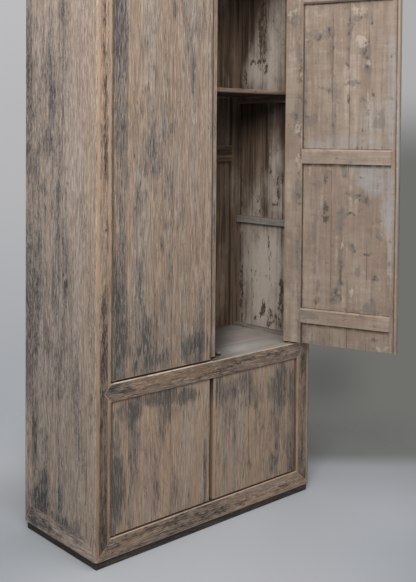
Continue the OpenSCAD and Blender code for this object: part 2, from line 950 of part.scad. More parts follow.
// Heights of the battens on an upper and on a lower leaf
function upper_heights(foot) = [
    foot + upper_batten_margin,
    (foot + upper_head - leaf_batten_h) / 2 + middle_batten_raise,
    upper_head - upper_batten_margin - leaf_batten_h
];
lower_heights = [
    lower_foot + lower_batten_margin,
    lower_head - lower_batten_margin - leaf_batten_h
];
left_heights = upper_heights(upper_left_foot);
right_heights = upper_heights(upper_right_foot);

module upper_left_stile() {
    color(elm) hung_left(0)
        leaf_stile(upper_left_reach, upper_left_foot, upper_head, left_heights,
            upper_left_gap, upper_head_gap);
}

module upper_left_boards() {
    color(elm) hung_left(0) leaf_boards(upper_left_reach, upper_left_foot, upper_head, left_heights);
}

module upper_left_battens() {
    color(painted_wood) hung_left(0) leaf_battens(upper_left_reach, left_heights);
}

module upper_left_edge_strip() {
    color(elm_warm) hung_left(0) leaf_edge_strip(upper_left_reach, upper_left_foot, upper_head);
}

module upper_left_cover_strip() {
    color(elm_warm) hung_left(0) leaf_cover_strip(upper_left_reach, upper_head);
}

module upper_right_stile() {
    color(painted_wood) hung_right(open_angle)
        leaf_stile(upper_right_reach, upper_right_foot, upper_head, right_heights,
            upper_right_gap, upper_head_gap);
}

module upper_right_boards() {
    color(painted_wood) hung_right(open_angle)
        leaf_boards(upper_right_reach, upper_right_foot, upper_head, right_heights);
}

module upper_right_battens() {
    color(painted_wood) hung_right(open_angle) leaf_battens(upper_right_reach, right_heights);
}

module upper_right_edge_strip() {
    color(elm_warm) hung_right(open_angle)
        leaf_edge_strip(upper_right_reach, upper_right_foot, upper_head);
}

module lower_left_stile() {
    color(elm) hung_left(0)
        leaf_stile(lower_left_reach, lower_foot, lower_head, lower_heights,
            lower_foot_gap, lower_head_gap);
}

module lower_left_boards() {
    color(elm) hung_left(0) leaf_boards(lower_left_reach, lower_foot, lower_head, lower_heights);
}

module lower_left_battens() {
    color(inside_wood) hung_left(0) leaf_battens(lower_left_reach, lower_heights);
}

module lower_left_edge_strip() {
    color(elm_warm) hung_left(0) leaf_edge_strip(lower_left_reach, lower_foot, lower_head);
}

module lower_right_stile() {
    color(elm) hung_right(0)
        leaf_stile(lower_right_reach, lower_foot, lower_head, lower_heights,
            lower_foot_gap, lower_head_gap);
}

module lower_right_boards() {
    color(elm) hung_right(0) leaf_boards(lower_right_reach, lower_foot, lower_head, lower_heights);
}

module lower_right_battens() {
    color(inside_wood) hung_right(0) leaf_battens(lower_right_reach, lower_heights);
}

module lower_right_edge_strip() {
    color(elm_warm) hung_right(0) leaf_edge_strip(lower_right_reach, lower_foot, lower_head);
}

front_post_left();
front_post_right();
back_post_left();
back_post_right();
top_rail_front();
top_rail_back();
top_rail_left();
top_rail_right();
bottom_rail_front();
bottom_rail_back();
bottom_rail_left();
bottom_rail_right();
sill_rail();
floor_rail_left();
floor_rail_right();
floor_rail_back();
back_rail_middle();
plinth_front();
plinth_back();
plinth_left();
plinth_right();
plinth_cross_rail();
top_boards();
top_battens();
floor_boards();
floor_battens();
bottom_boards();
bottom_battens();
side_boards_left();
side_boards_right();
back_boards_upper();
back_boards_lower();
shelf();
shelf_cleat_left();
shelf_cleat_right();
spare_cleat_left();
spare_cleat_right();
door_stop_block();
upper_left_stile();
upper_left_boards();
upper_left_battens();
upper_left_edge_strip();
upper_left_cover_strip();
upper_right_stile();
upper_right_boards();
upper_right_battens();
upper_right_edge_strip();
lower_left_stile();
lower_left_boards();
lower_left_battens();
lower_left_edge_strip();
lower_right_stile();
lower_right_boards();
lower_right_battens();
lower_right_edge_strip();
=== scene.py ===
import bpy
import json
import math
from mathutils import Matrix, Vector


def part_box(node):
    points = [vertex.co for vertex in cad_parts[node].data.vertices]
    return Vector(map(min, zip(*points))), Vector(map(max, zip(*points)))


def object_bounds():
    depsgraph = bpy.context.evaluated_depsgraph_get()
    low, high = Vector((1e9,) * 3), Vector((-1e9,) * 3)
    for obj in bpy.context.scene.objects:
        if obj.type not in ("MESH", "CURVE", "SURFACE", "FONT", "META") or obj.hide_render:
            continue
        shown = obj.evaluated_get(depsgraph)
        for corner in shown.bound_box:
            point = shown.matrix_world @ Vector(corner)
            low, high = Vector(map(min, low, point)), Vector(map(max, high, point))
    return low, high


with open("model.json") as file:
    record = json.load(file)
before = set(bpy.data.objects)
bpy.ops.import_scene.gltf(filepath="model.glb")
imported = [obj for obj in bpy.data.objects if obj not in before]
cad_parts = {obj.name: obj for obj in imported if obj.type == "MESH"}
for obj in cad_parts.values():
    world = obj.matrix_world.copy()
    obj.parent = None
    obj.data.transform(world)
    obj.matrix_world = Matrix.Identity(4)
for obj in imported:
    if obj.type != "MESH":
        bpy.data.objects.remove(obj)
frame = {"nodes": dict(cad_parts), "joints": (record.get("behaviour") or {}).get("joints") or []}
cad_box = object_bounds()
bpy.ops.object.select_all(action="DESELECT")


def middle_of(node, axis):
    low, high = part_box(node)
    return (low[axis] + high[axis]) / 2


# Places on the cabinet that the finishes follow, in metres. Low and high are a node's two corners.
X, Y, Z = 0, 1, 2
LOW, HIGH = 0, 1
HALF_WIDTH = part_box("back_post_right")[HIGH].x
CABINET_TOP = cad_box[1].z
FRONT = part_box("front_post_left")[LOW].y
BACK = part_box("back_post_left")[HIGH].y
POST_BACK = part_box("front_post_left")[HIGH].y
LEFT_POST_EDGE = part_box("front_post_left")[HIGH].x
RIGHT_POST_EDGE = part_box("front_post_right")[LOW].x
SILL_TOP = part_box("sill_rail")[HIGH].z
LOW_RAIL_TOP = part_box("bottom_rail_front")[HIGH].z
SHELF_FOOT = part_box("shelf")[LOW].z
BLOCK_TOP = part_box("door_stop_block")[HIGH].z
LEAF_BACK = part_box("upper_left_stile")[HIGH].y
LOW_STRIP_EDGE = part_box("lower_right_edge_strip")[LOW].x
ARRIS = 0.0035

# The plane inside each leaf where its outer finish ends and its inner one begins
LEAF_MIDDLE = LEAF_BACK - 0.0175

# The battens of the open leaf: how far the dust and painted shade along them reach when it is shut, how
# high each is, and where their lower edges lie. The lowest and the top one end where the node does.
BATTEN_REACH = (0.020, 0.372)
BATTEN_HEIGHT = 0.053
BATTEN_FEET = (
    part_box("upper_right_battens")[LOW].z,
    1.2645,
    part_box("upper_right_battens")[HIGH].z - BATTEN_HEIGHT,
)

# The joint that the right tall leaf hangs on, and how far it is open at rest
RIGHT_HINGE = next(joint for joint in frame["joints"] if joint["name"] == "upper_right_hinge")
RIGHT_PIVOT = RIGHT_HINGE["pos_m"][:2]
OPEN_TURN = math.radians(-RIGHT_HINGE["range_deg"][0])

# Where two boards meet: on a side wall, on the level boards, on the back and on each leaf
SIDE_SEAM = 0.003
FLAT_SEAMS = (-0.052, 0.058)
BACK_SEAMS = (-0.221, 0.0, 0.221)
LEAF_SEAMS = {"upper_left": -0.19, "upper_right": 0.178, "lower_left": -0.1903, "lower_right": 0.178}

# Lines that run up the leaves: dirt and painted shade along the hinge edge of the left stiles, painted
# shade on the edge strip of the low left leaf, the joint of the open leaf's edge strip, a warm line on
# the tall left leaf's front near its free edge, and painted shade on the cover strip where the other leaf
# bears
STILE_DIRT_AND_SHADE_LINE = -0.4330
LOW_STRIP_SHADE_LINE = -0.0145
OPEN_STRIP_JOINT = 0.0022
FREE_EDGE_LINE = -0.0367
COVER_SHADE_LINE = 0.0195

# A centimetre, in metres
CM = 0.01


def placed(*rows):
    """Marks that are written in centimetres, turned into metres."""
    return tuple((*(value * CM for value in row[:4]), row[4]) for row in rows)


# Stains, smears and bare spots, and on the open leaf painted bluish highlights. Each row is one mark: how far
# across the face and how far up from the floor its middle lies, its half width, its half height, and its
# strength.
# Across counts from the cabinet's middle: to the right on a front, to the back on a side wall.
SIDE_MARKS = placed(
    (18.5, 145, 2, 44, 1.2), (19, 135, 2.5, 17, 1.0), (19.5, 165, 2, 20, 1.0), (19, 94, 2.5, 24, 1.2),
    (18, 60, 3, 35, 1.1), (18.5, 45, 2, 21, 1.2), (14.5, 172, 2, 4, 0.7), (14.5, 162, 2, 4, 0.7),
    (-0.5, 178, 2, 4, 0.8), (4.5, 149, 2, 7, 0.8), (9, 133, 4.5, 5, 0.9), (17, 123, 3, 9, 0.9),
    (9.5, 119, 3, 3, 0.7), (7, 110, 2.5, 5, 0.6), (1, 117, 2, 3, 0.6), (13.5, 81, 3, 8, 0.6),
    (5.5, 88, 3.5, 9, 0.7), (10.5, 84, 2.5, 7, 0.6), (-4, 86, 1, 4, 1.0), (13, 58, 2, 20, 0.7),
    (15.5, 65, 3, 12, 1.1), (7.5, 68, 2, 7, 0.9), (-0.5, 64, 1.5, 8, 0.9), (-0.5, 52, 2.5, 3, 0.7),
    (16, 32, 2.5, 11, 1.2), (9.5, 34, 3, 4.5, 1.1), (8.5, 20, 3.5, 4, 1.2), (11.5, 12, 6.5, 5.5, 1.5),
    (1, 16, 3.5, 4.5, 1.2), (16, 6, 4, 4, 1.5), (9, 6, 5.5, 2.5, 1.6), (1.5, 10, 3.5, 2.5, 1.3),
    (-2, 9, 5.5, 2.5, 1.5), (-7, 8, 4, 2, 1.4), (-11.5, 7, 4.5, 2, 1.3), (-10, 10, 3, 3, 1.1),
    (-15.5, 11, 1.5, 3, 0.9), (-15.5, 31, 1, 10, 0.6), (16, 60, 4, 24, 0.8),
)
SIDE_PALE = placed((-10.5, 144, 6.5, 48, 1.0), (-12, 84, 6, 35, 0.8), (-4.5, 37, 7, 20, 0.5))
POST_MARKS = placed(
    (-47.5, 175, 0.6, 6, 1.0), (-47.5, 163, 0.7, 6, 1.0), (-47, 151, 0.6, 9, 0.9), (-47, 132, 0.6, 8, 0.7),
    (-46.5, 125, 0.7, 5, 1.0), (-46, 106, 0.8, 8, 0.9), (-47, 84, 1.3, 5, 1.0), (-46.5, 73, 1.4, 5, 0.9),
    (-47, 64, 2, 7, 0.9), (-47, 54, 1.5, 4.5, 0.8), (-48, 46, 0.8, 3, 1.5), (-46.5, 39, 0.6, 19, 0.6),
    (-48, 29, 0.7, 19, 0.8), (-47.5, 9, 1.5, 6.5, 0.5),
)
LEAF_MARKS = placed(
    (-41, 116, 3, 58, 0.9), (-32.5, 122, 10, 78, 0.35), (-38, 158, 4.5, 4.5, 0.4), (-40.5, 135, 3, 20, 1.2),
    (-39.5, 122, 3, 7, 0.9), (-41, 109, 2, 10, 0.75), (-38, 103, 2.5, 4, 0.8), (-40.5, 92, 3, 10, 0.45),
    (-39, 84, 3, 5, 0.8), (-38.5, 74, 3, 5.5, 1.0), (-37.5, 69, 3, 4.5, 1.0), (-34, 62, 3.5, 2.5, 0.8),
    (-32, 66, 2.5, 3, 0.7), (-22, 174, 1.5, 10, 0.5), (-22, 158, 1, 10, 0.7), (-18.5, 140, 1.5, 5, 0.8),
    (-18.5, 179, 1, 4, 0.7), (-14.5, 160, 0.8, 2.5, 0.9), (-23.5, 105, 2, 7, 0.6), (-23, 100, 1, 3, 1.0),
    (-32, 88, 0.5, 6.5, 1.0), (-23, 82, 1.5, 7, 0.5), (-8.5, 66, 5, 3, 0.5), (-15, 64, 5, 3, 0.6),
    (-22, 63, 4.5, 2.5, 0.8), (-28, 63, 5, 2.5, 0.6), (-3.5, 65, 2.5, 3, 0.9), (-34.5, 176, 1.5, 6, 0.4),
    (-33, 148, 2, 10, 0.5), (-28, 132, 1, 6.5, 0.4), (-40, 160, 3.5, 22, 0.45),
)
LEAF_PALE = placed((-7.5, 132, 4, 51, 0.25), (-11, 91, 4.5, 20, 0.6), (-28.5, 106, 3.5, 16, 0.5))
LOW_LEFT_MARKS = placed(
    (-42, 40, 2, 7, 0.9), (-41.5, 24, 3, 12, 1.1), (-42.5, 12, 1.5, 3, 0.7), (-37, 48, 6, 3.5, 1.2),
    (-24, 50, 9.5, 3, 1.3), (-15, 48, 9, 2.5, 1.2), (-23.5, 42, 2.5, 6, 0.6), (-23.5, 36, 1.5, 5.5, 0.9),
    (-25, 24, 1.5, 9, 0.6), (-36, 45, 1.5, 2.5, 0.9), (-19, 44, 5, 3, 0.6), (-3.5, 21, 0.7, 21, 0.6),
)
LOW_LEFT_PALE = placed((-13, 30, 9, 14, 0.9))
LOW_RIGHT_MARKS = placed(
    (13, 47, 8, 4.5, 1.0), (19.5, 42, 7, 5, 0.9), (26.5, 43, 7.5, 5, 1.0), (36.5, 43, 6, 7.5, 1.0),
    (41, 36, 2, 10, 1.0), (39, 22, 3, 12, 0.8), (40, 13, 3.5, 6, 0.8), (3.5, 46, 3.5, 4.5, 0.6),
    (18.5, 17, 0.8, 1.5, 1.0), (30.5, 15, 2.5, 3.5, 0.8), (22.5, 31, 4, 7.5, 0.4), (11.5, 35, 2, 6, 0.4),
)
SILL_MARKS = placed(
    (-44, 57, 2.5, 1.3, 0.8), (-39, 55, 5, 0.6, 0.6), (-28.5, 55, 5, 0.5, 0.8), (-16, 55, 6, 0.5, 0.7),
    (-4.5, 54, 5.5, 0.6, 0.8), (3.5, 55, 6, 0.5, 1.0), (15.5, 56, 7, 0.5, 1.0), (29, 56, 7.5, 0.7, 1.0),
    (38.5, 58, 5.5, 0.9, 0.9), (10.5, 53, 5, 0.4, 0.5),
)
RAIL_MARKS = placed(
    (-44, 6, 4.5, 1, 0.9), (-36.5, 7, 4, 1, 0.8), (-28.5, 7, 5, 1, 0.9), (-17, 7, 6, 1.2, 1.0),
    (-6.5, 6, 4.5, 0.9, 0.7), (4, 5, 5, 0.9, 0.8), (14.5, 5, 4.5, 0.9, 1.0), (24, 5, 5.5, 0.7, 0.7),
    (36, 5, 5.5, 1, 0.9),
)
RIGHT_POST_MARKS = placed(
    (45.5, 49, 0.9, 4.5, 0.9), (47, 36, 0.7, 6, 0.8), (46, 20, 0.7, 7, 0.8), (47.5, 5, 1.5, 4, 0.9),
)
WALL_MARKS = placed(
    (10.5, 179, 0.7, 5, 0.9), (5, 181, 2, 10, 1.0), (4.5, 169, 2, 5.5, 0.7), (8, 166, 3, 0.8, 1.0),
    (3, 163, 1.5, 2, 1.0), (14, 159, 1, 3.5, 0.8), (0, 124, 1, 5.5, 0.6), (-3, 110, 2, 0.8, 1.0),
    (-4.5, 115, 0.8, 5.5, 0.8), (-7, 120, 0.8, 2.5, 0.9), (6.5, 110, 1.7, 5.5, 0.5),
    (16.5, 126, 0.7, 25, 0.8), (0, 91, 0.5, 5.5, 0.9), (-0.5, 83, 0.5, 5, 0.8), (-7, 72, 1.5, 8, 1.0),
    (3, 67, 1.7, 2.5, 1.0), (7, 62, 0.9, 1.2, 0.9), (-1, 64, 2, 3, 0.8), (15.5, 73, 0.9, 12, 0.8),
    (-5.5, 63, 2, 2.5, 0.7),
)
WALL_COAT = placed(
    (-0.5, 167, 6.5, 10, 1.0), (8, 162, 4.5, 5.5, 0.9), (-4, 180, 4.5, 12, 0.5), (-2.5, 114, 6, 9.5, 0.75),
    (-6, 125, 2.5, 5.5, 0.6), (7.5, 110, 4.5, 5, 0.3), (3.5, 78, 12.5, 21, 1.0), (10.5, 92, 7, 6.5, 0.7),
    (-3.5, 71, 6.5, 11, 1.0),
)
OPEN_MARKS = placed(
    (37, 152, 0.8, 17, 0.7), (37, 113, 0.8, 22, 0.6), (36, 75, 0.8, 15, 0.5), (39.5, 180, 2, 1, 0.6),
    (30, 174, 4.5, 1.3, 0.7), (26, 175, 1.2, 1.5, 0.9), (33.5, 170, 1.2, 2, 0.6), (24.5, 165, 0.5, 9.5, 0.8),
    (23.5, 148, 0.6, 9.5, 0.8), (18, 172, 0.5, 8, 0.9), (17.5, 177, 0.9, 1, 1.0), (14, 179, 2.5, 0.7, 0.9),
    (12, 180, 0.7, 1, 1.0), (10, 179, 0.4, 2, 0.8), (12, 168, 2, 2, 0.9), (10.5, 164, 0.6, 5.5, 0.9),
    (11.5, 161, 1, 1, 0.8), (16.5, 156, 2.5, 0.4, 1.0), (19, 163, 0.7, 0.7, 1.0), (18, 150, 0.4, 1.5, 0.9),
    (27, 154, 2.5, 0.7, 0.6), (34, 160, 1, 2, 0.6), (32.5, 143, 2, 1.5, 0.5), (9, 152, 0.4, 2, 0.6),
    (35, 150, 0.6, 15, 0.5), (26.5, 123, 1.5, 2, 0.8), (19.5, 124, 1, 1.5, 0.8), (11.5, 122, 2, 0.4, 0.7),
    (15.5, 115, 2, 0.7, 0.8), (11.5, 113, 1.5, 0.8, 1.0), (26.5, 110, 1, 1.5, 1.0), (26.5, 106, 1, 0.9, 0.9),
    (18.5, 108, 2.5, 0.4, 0.9), (5.5, 107, 1.5, 1, 0.9), (6, 101, 1, 1.5, 0.8), (15.5, 96, 0.9, 0.9, 0.9),
    (10, 94, 1.3, 0.6, 1.0), (20.5, 92, 0.5, 7.5, 1.0), (25.5, 89, 0.5, 1.5, 0.7), (14, 87, 0.8, 1, 0.8),
    (7, 85, 1, 0.7, 0.8), (2.5, 84, 0.6, 3, 0.8), (29, 81, 0.5, 2, 0.9), (22, 78, 1.5, 2.5, 1.0),
    (20.5, 83, 0.8, 1, 0.8), (9, 76, 1.5, 3, 0.6), (10, 75, 2, 1, 0.7), (2, 91, 0.5, 0.7, 0.9),
    (29.5, 76, 0.8, 1, 0.8), (13, 73, 5.5, 0.4, 0.8), (3.5, 60, 1, 0.4, 1.0), (8, 63, 1, 0.7, 0.6),
)
OPEN_CREAM = placed(
    (40, 182, 2, 2, 0.7), (36.5, 158, 0.6, 3, 0.8), (37.5, 140, 1.2, 3, 0.8), (37, 128, 1, 2, 0.8),
    (32, 129, 2, 2, 0.8), (17.5, 130, 8.5, 1.5, 0.5), (14, 182, 2.5, 1.3, 1.0), (13.5, 171, 3, 2, 1.0),
    (11.5, 163, 1.5, 1.5, 0.8), (10.5, 150, 0.7, 3, 0.8), (25.5, 151, 2, 1, 0.6), (17.5, 154, 1.5, 0.7, 0.6),
    (21, 117, 1.5, 1.5, 0.6), (19.5, 97, 0.8, 1.5, 0.7), (22, 79, 1.2, 1, 1.0), (16, 78, 0.8, 2, 0.8),
    (6, 72, 3.5, 0.6, 0.9), (19, 103, 1, 2, 0.5), (4.5, 60, 2.5, 0.7, 0.8),
)
# Painted bluish highlights on the open leaf's inner face
OPEN_BLUE_HIGHLIGHTS = placed(
    (2, 153, 1.5, 21, 0.9), (19.5, 134, 16, 3, 0.6), (8, 143, 6, 7, 0.5), (8, 122, 6.5, 6, 1.0),
    (3, 110, 2, 9.5, 0.8), (4, 121, 3, 7, 0.8), (15.5, 126, 4, 3, 0.5), (1.5, 96, 0.9, 10.5, 0.5),
)


def tone(red, green, blue):
    """A colour written from 0 to 255 as the eye sees it, turned into the light that paint gives back."""
    parts = []
    for part in (red, green, blue):
        share = part / 255
        parts.append(share / 12.92 if share <= 0.04045 else ((share + 0.055) / 1.055) ** 2.4)
    return (*parts, 1.0)


# Small parts of a finish
def put(tree, kind, **settings):
    node = tree.nodes.new(kind)
    for key, value in settings.items():
        setattr(node, key, value)
    return node


def feed(tree, socket, value):
    if isinstance(value, bpy.types.NodeSocket):
        tree.links.new(value, socket)
    else:
        socket.default_value = value


def calc(tree, operation, first, second=0.0):
    node = put(tree, "ShaderNodeMath", operation=operation)
    for socket, value in zip(node.inputs, (first, second)):
        feed(tree, socket, value)
    return node.outputs[0]


def plus(tree, first, second):
    return calc(tree, "ADD", first, second)


def less(tree, first, second):
    return calc(tree, "SUBTRACT", first, second)


def times(tree, first, second):
    return calc(tree, "MULTIPLY", first, second)


def most(tree, first, second):
    return calc(tree, "MAXIMUM", first, second)


def size_of(tree, value):
    return calc(tree, "ABSOLUTE", value)


def above(tree, value, limit):
    return calc(tree, "GREATER_THAN", value, limit)


def below(tree, value, limit):
    return calc(tree, "LESS_THAN", value, limit)


def aim(tree, operation, first, second=(0, 0, 0), third=(0, 0, 0)):
    node = put(tree, "ShaderNodeVectorMath", operation=operation)
    for socket, value in zip(node.inputs, (first, second, third)):
        feed(tree, socket, value)
    return node.outputs["Value"] if operation in ("DOT_PRODUCT", "LENGTH") else node.outputs["Vector"]


def spread(tree, value, low, high, start=0.0, end=1.0):
    """start at low, end at high and a smooth change between them, whichever of the two is larger."""
    node = put(tree, "ShaderNodeMapRange", interpolation_type="SMOOTHSTEP", clamp=True)
    for socket, item in zip(node.inputs, (value, low, high, start, end)):
        feed(tree, socket, item)
    return node.outputs[0]


def blend(tree, amount, first, second, way="MIX"):
    node = put(tree, "ShaderNodeMix", data_type="RGBA", blend_type=way, clamp_factor=True)
    feed(tree, node.inputs[0], amount)
    feed(tree, node.inputs[6], first)
    feed(tree, node.inputs[7], second)
    return node.outputs[2]


def shift(tree, place, moved=(0, 0, 0), turned=(0, 0, 0), scaled=(1, 1, 1)):
    node = put(tree, "ShaderNodeMapping", vector_type="POINT")
    feed(tree, node.inputs["Vector"], place)
    node.inputs["Location"].default_value = moved
    node.inputs["Rotation"].default_value = turned
    node.inputs["Scale"].default_value = scaled
    return node.outputs[0]


def noise(tree, place, size, detail, moved=(0, 0, 0)):
    node = put(tree, "ShaderNodeTexNoise")
    feed(tree, node.inputs["Vector"], shift(tree, place, moved=moved, scaled=size))
    node.inputs["Scale"].default_value = 1.0
    node.inputs["Detail"].default_value = detail
    return node


def cloud(tree, place, size, detail=3.0, rough=0.55, moved=(0, 0, 0)):
    """Soft noise around a half. size is how many blots there are in a metre along each direction."""
    node = noise(tree, place, size, detail, moved)
    node.inputs["Roughness"].default_value = rough
    return node.outputs["Fac"]


def ragged(tree, place, size, rough, low, high, least, full):
    """How much is left of a line or a stain here and there, from least to full."""
    return spread(tree, cloud(tree, place, size, 4, rough), low, high, least, full)


def parts_of(tree, place):
    node = put(tree, "ShaderNodeSeparateXYZ")
    feed(tree, node.inputs[0], place)
    return node.outputs


def joined(tree, x, y=None, z=None):
    node = put(tree, "ShaderNodeCombineXYZ")
    for socket, value in zip(node.inputs, (x, x if y is None else y, x if z is None else z)):
        feed(tree, socket, value)
    return node.outputs[0]


def painted(tree, coat, amount, colour, way="MIX"):
    """The finish with another colour over it."""
    return blend(tree, amount, coat[0], colour, way), coat[1], coat[2]


def layered(tree, colour, look, layers):
    """Lays colours over a ground in turn. Each row is where one lies, how much of it shows, and its name."""
    for where, share, name in layers:
        colour = blend(tree, times(tree, where, share), colour, look[name])
    return colour


def over(tree, amount, first, second):
    """The second finish over the first one."""
    colour = blend(tree, amount, first[0], second[0])
    kept = less(tree, 1.0, amount)
    gloss = plus(tree, times(tree, first[1], kept), times(tree, second[1], amount))
    relief = plus(tree, times(tree, first[2], kept), times(tree, second[2], amount))
    return colour, gloss, relief


# Where a point lies on its board
def own_place(tree):
    return put(tree, "ShaderNodeTexCoord").outputs["Object"]


def leaf_place(tree, place):
    """Turns the open leaf's points back to where they lie when it is shut."""
    x, y = RIGHT_PIVOT
    turn = -OPEN_TURN
    back_x = x - (x * math.cos(turn) - y * math.sin(turn))
    back_y = y - (x * math.sin(turn) + y * math.cos(turn))
    return shift(tree, place, moved=(back_x, back_y, 0), turned=(0, 0, turn))


def place_on(tree, node):
    place = own_place(tree)
    return leaf_place(tree, place) if node.startswith("upper_right") else place


def along_grain(tree, place, grain):
    """Turns the points so that the grain runs along the third direction."""
    if grain == "x":
        return shift(tree, place, turned=(0, -math.pi / 2, 0))
    if grain == "y":
        return shift(tree, place, turned=(math.pi / 2, 0, 0))
    return place


def board_number(tree, value, seams):
    count = 0.0
    for seam in seams:
        count = plus(tree, count, above(tree, value, seam))
    return count


# In the finishes below, raw is a point's place on the cabinet, and wood is the place in the tree that
# the board there was cut from
def own_pattern(tree, place, seed, number=None):
    """Moves the pattern on, so that each board is cut from its own part of the tree."""
    start = (seed * 3.17 % 19, seed * 5.31 % 17, seed * 7.77 % 23)
    if number is None:
        return aim(tree, "ADD", place, start)
    far = aim(tree, "MULTIPLY_ADD", (4.3, 2.9, 6.1), joined(tree, number), start)
    return aim(tree, "ADD", place, far)


def pattern_on(tree, raw, grain, seed, seams=None, axis=Y):
    """The pattern's points on a node, cut anew past each seam across the axis."""
    number = board_number(tree, parts_of(tree, raw)[axis], seams) if seams else None
    return own_pattern(tree, along_grain(tree, raw, grain), seed, number)


def edge_wear(tree, radius):
    """Near one on arrises and near nothing on flat faces."""
    rounded = put(tree, "ShaderNodeBevel", samples=4)
    rounded.inputs["Radius"].default_value = radius
    flat = put(tree, "ShaderNodeNewGeometry")
    same = aim(tree, "DOT_PRODUCT", rounded.outputs[0], flat.outputs["Normal"])
    return spread(tree, same, 0.995, 0.86)


# How far a mark is taken to reach and where it has faded out, both in half sizes from its middle,
# and the ripples that bend its outline
MARK_REACH = 1.4
MARK_END = 1.45
RIPPLE_SIZE = (40, 1, 16)
RIPPLE_DEPTH = (0.018, 0.0, 0.05)


def rows_near(rows, node, facing):
    """Leaves out the marks that don't reach this piece, by their height alone on the open leaf."""
    low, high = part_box(node)
    side = Y if facing == "x" else X
    kept = []
    for row in rows:
        wide, tall = row[2] * MARK_REACH, row[3] * MARK_REACH
        across = low[side] - wide < row[0] < high[side] + wide
        up = low.z - tall < row[1] < high.z + tall
        if up and (across or node.startswith("upper_right")):
            kept.append(row)
    return kept


def marks(tree, place, facing, rows, grow=1.0, core=0.5):
    """Soft spots at listed places, on a face that looks along x or y."""
    x, y, z = parts_of(tree, place)
    flat = joined(tree, y if facing == "x" else x, 0.0, z)
    ripple = noise(tree, flat, RIPPLE_SIZE, 4.0)
    moved = aim(tree, "SUBTRACT", ripple.outputs["Color"], (0.5, 0.5, 0.5))
    bent = aim(tree, "MULTIPLY_ADD", moved, RIPPLE_DEPTH, flat)
    total = 0.0
    for across, along, half_wide, half_high, strength in rows:
        wide, high = half_wide * grow, half_high * grow
        scale = (1 / wide, 0.0, 1 / high)
        centre = (-across / wide, 0.0, -along / high)
        off = aim(tree, "LENGTH", aim(tree, "MULTIPLY_ADD", bent, scale, centre))
        total = most(tree, total, spread(tree, off, MARK_END, core, 0.0, strength))
    return total


def gather(tree, place, node, table):
    """All the marks of a table that lie on this piece."""
    total = 0.0
    for facing, rows in table.get(node, ()):
        near = rows_near(rows, node, facing)
        if near:
            total = most(tree, total, marks(tree, place, facing, near))
    return total


# Finishes, each a colour, a gloss and a relief
def bleached_elm(tree, wood, look, dirt=0.0, clean=0.0, arches=0.0):
    """Old elm, washed pale: fine streaks, grey haze and short dark dashes, tan between them."""
    # The grain wanders a little, so its points are bent first
    bend = less(tree, cloud(tree, wood, (3.1, 3.1, 1.1), 2), 0.5)
    bent = aim(tree, "MULTIPLY_ADD", joined(tree, bend), (0.03, 0.03, 0.0), wood)
    dash = cloud(tree, bent, (300, 300, look["dash"]), 5, 0.75, (3, 1, 2))
    thin = cloud(tree, bent, (290, 290, look["thread"]), 3, 0.72, (5, 5, 8))
    broad = cloud(tree, bent, (125, 125, 5.5), 4, 0.68, (2, 9, 4))
    fleck = cloud(tree, bent, (270, 270, 30), 4, 0.75, (8, 4, 1))
    band = cloud(tree, bent, (42, 42, 1.6), 3, 0.6, (7, 2, 5))
    patch = cloud(tree, bent, (9, 9, 2.4), 4, 0.62, (1, 8, 3))
    growth = cloud(tree, bent, (8, 8, 1.1), 1.2, 0.45, (6, 6, 1))
    ring = spread(tree, calc(tree, "SINE", times(tree, growth, 170.0)), -0.3, 1.0)
    streak = plus(tree, times(tree, thin, 0.66), times(tree, broad, 0.34))

    # How closely the dark dashes crowd together: more in dirt, less where the wood is rubbed clean
    crowd = plus(tree, times(tree, patch, 0.62), times(tree, band, 0.38))
    crowd = less(tree, crowd, 0.5)
    crowd = plus(tree, crowd, times(tree, dirt, look["dirt"]))
    crowd = less(tree, crowd, times(tree, clean, 0.08))

    # Colours, from the broad bands to the smallest flecks
    loops = plus(tree, arches, times(tree, thin, 1.2))
    white = less(tree, fleck, times(tree, crowd, 0.1))
    specks = plus(tree, less(tree, times(tree, dash, 1.45), 0.225), times(tree, crowd, 0.95))
    colour = blend(tree, spread(tree, band, 0.41, 0.59), look["tan"], look["pale"])
    colour = layered(tree, colour, look, (
        (spread(tree, crowd, -0.04, 0.15), look["haze"], "grey"),
        (ring, 0.2, "ring"),
        (spread(tree, streak, 0.46, 0.575), look["streaks"], "ring"),
        (spread(tree, streak, 0.465, 0.40), look["bright"], "light"),
        (spread(tree, loops, 1.30, 1.62), 0.2, "light"),
        (spread(tree, white, 0.60, 0.72), 0.6, "light"),
        (spread(tree, specks, 0.545, 0.72), look["dashes"], "dark"),
    ))

    relief = plus(tree, times(tree, dash, -0.8), times(tree, streak, -0.7))
    relief = plus(tree, relief, times(tree, ring, 0.15))
    gloss = spread(tree, crowd, -0.1, 0.2, 0.62, 0.74)
    return colour, gloss, relief


# The loops of a board sawn near the bark: how pointed they are, how far apart, and half how wide
ARCH_POINT = 950.0
ARCH_STEP = 0.2
ARCH_HALF_WIDTH = 0.056


def arches_on(tree, raw, middle):
    """The pointed loops that a board sawn near the bark shows, one above the other."""
    x, y, z = parts_of(tree, raw)
    flat = joined(tree, x, 0.0, z)
    wobble = times(tree, less(tree, cloud(tree, flat, (14, 1, 3), 3, 0.6), 0.5), 2.6)
    out = less(tree, x, middle)
    rise = plus(tree, times(tree, times(tree, out, out), ARCH_POINT), calc(tree, "DIVIDE", z, ARCH_STEP))
    wave = calc(tree, "SINE", times(tree, plus(tree, rise, wobble), math.tau))
    near = spread(tree, size_of(tree, out), ARCH_HALF_WIDTH, 0.030)
    return times(tree, wave, near)


def joint_and_shade_lines(tree, coat, raw, axis, lines, dark):
    """The thin dark line where two boards meet, filled here and there; it also draws lines of painted shade.
    """
    value = parts_of(tree, raw)[axis]
    filled = cloud(tree, raw, (30, 30, 9), 3, 0.6, (5, 2, 8))
    for line, width in lines:
        off = size_of(tree, less(tree, value, line))
        # A wide joint stays open nearly all along
        least = 0.8 if width > 0.0025 else 0.1
        shown = spread(tree, filled, 0.40, 0.56, least, 0.95)
        seam = times(tree, spread(tree, off, width, width * 0.35), shown)
        coat = painted(tree, coat, seam, dark)
    return coat


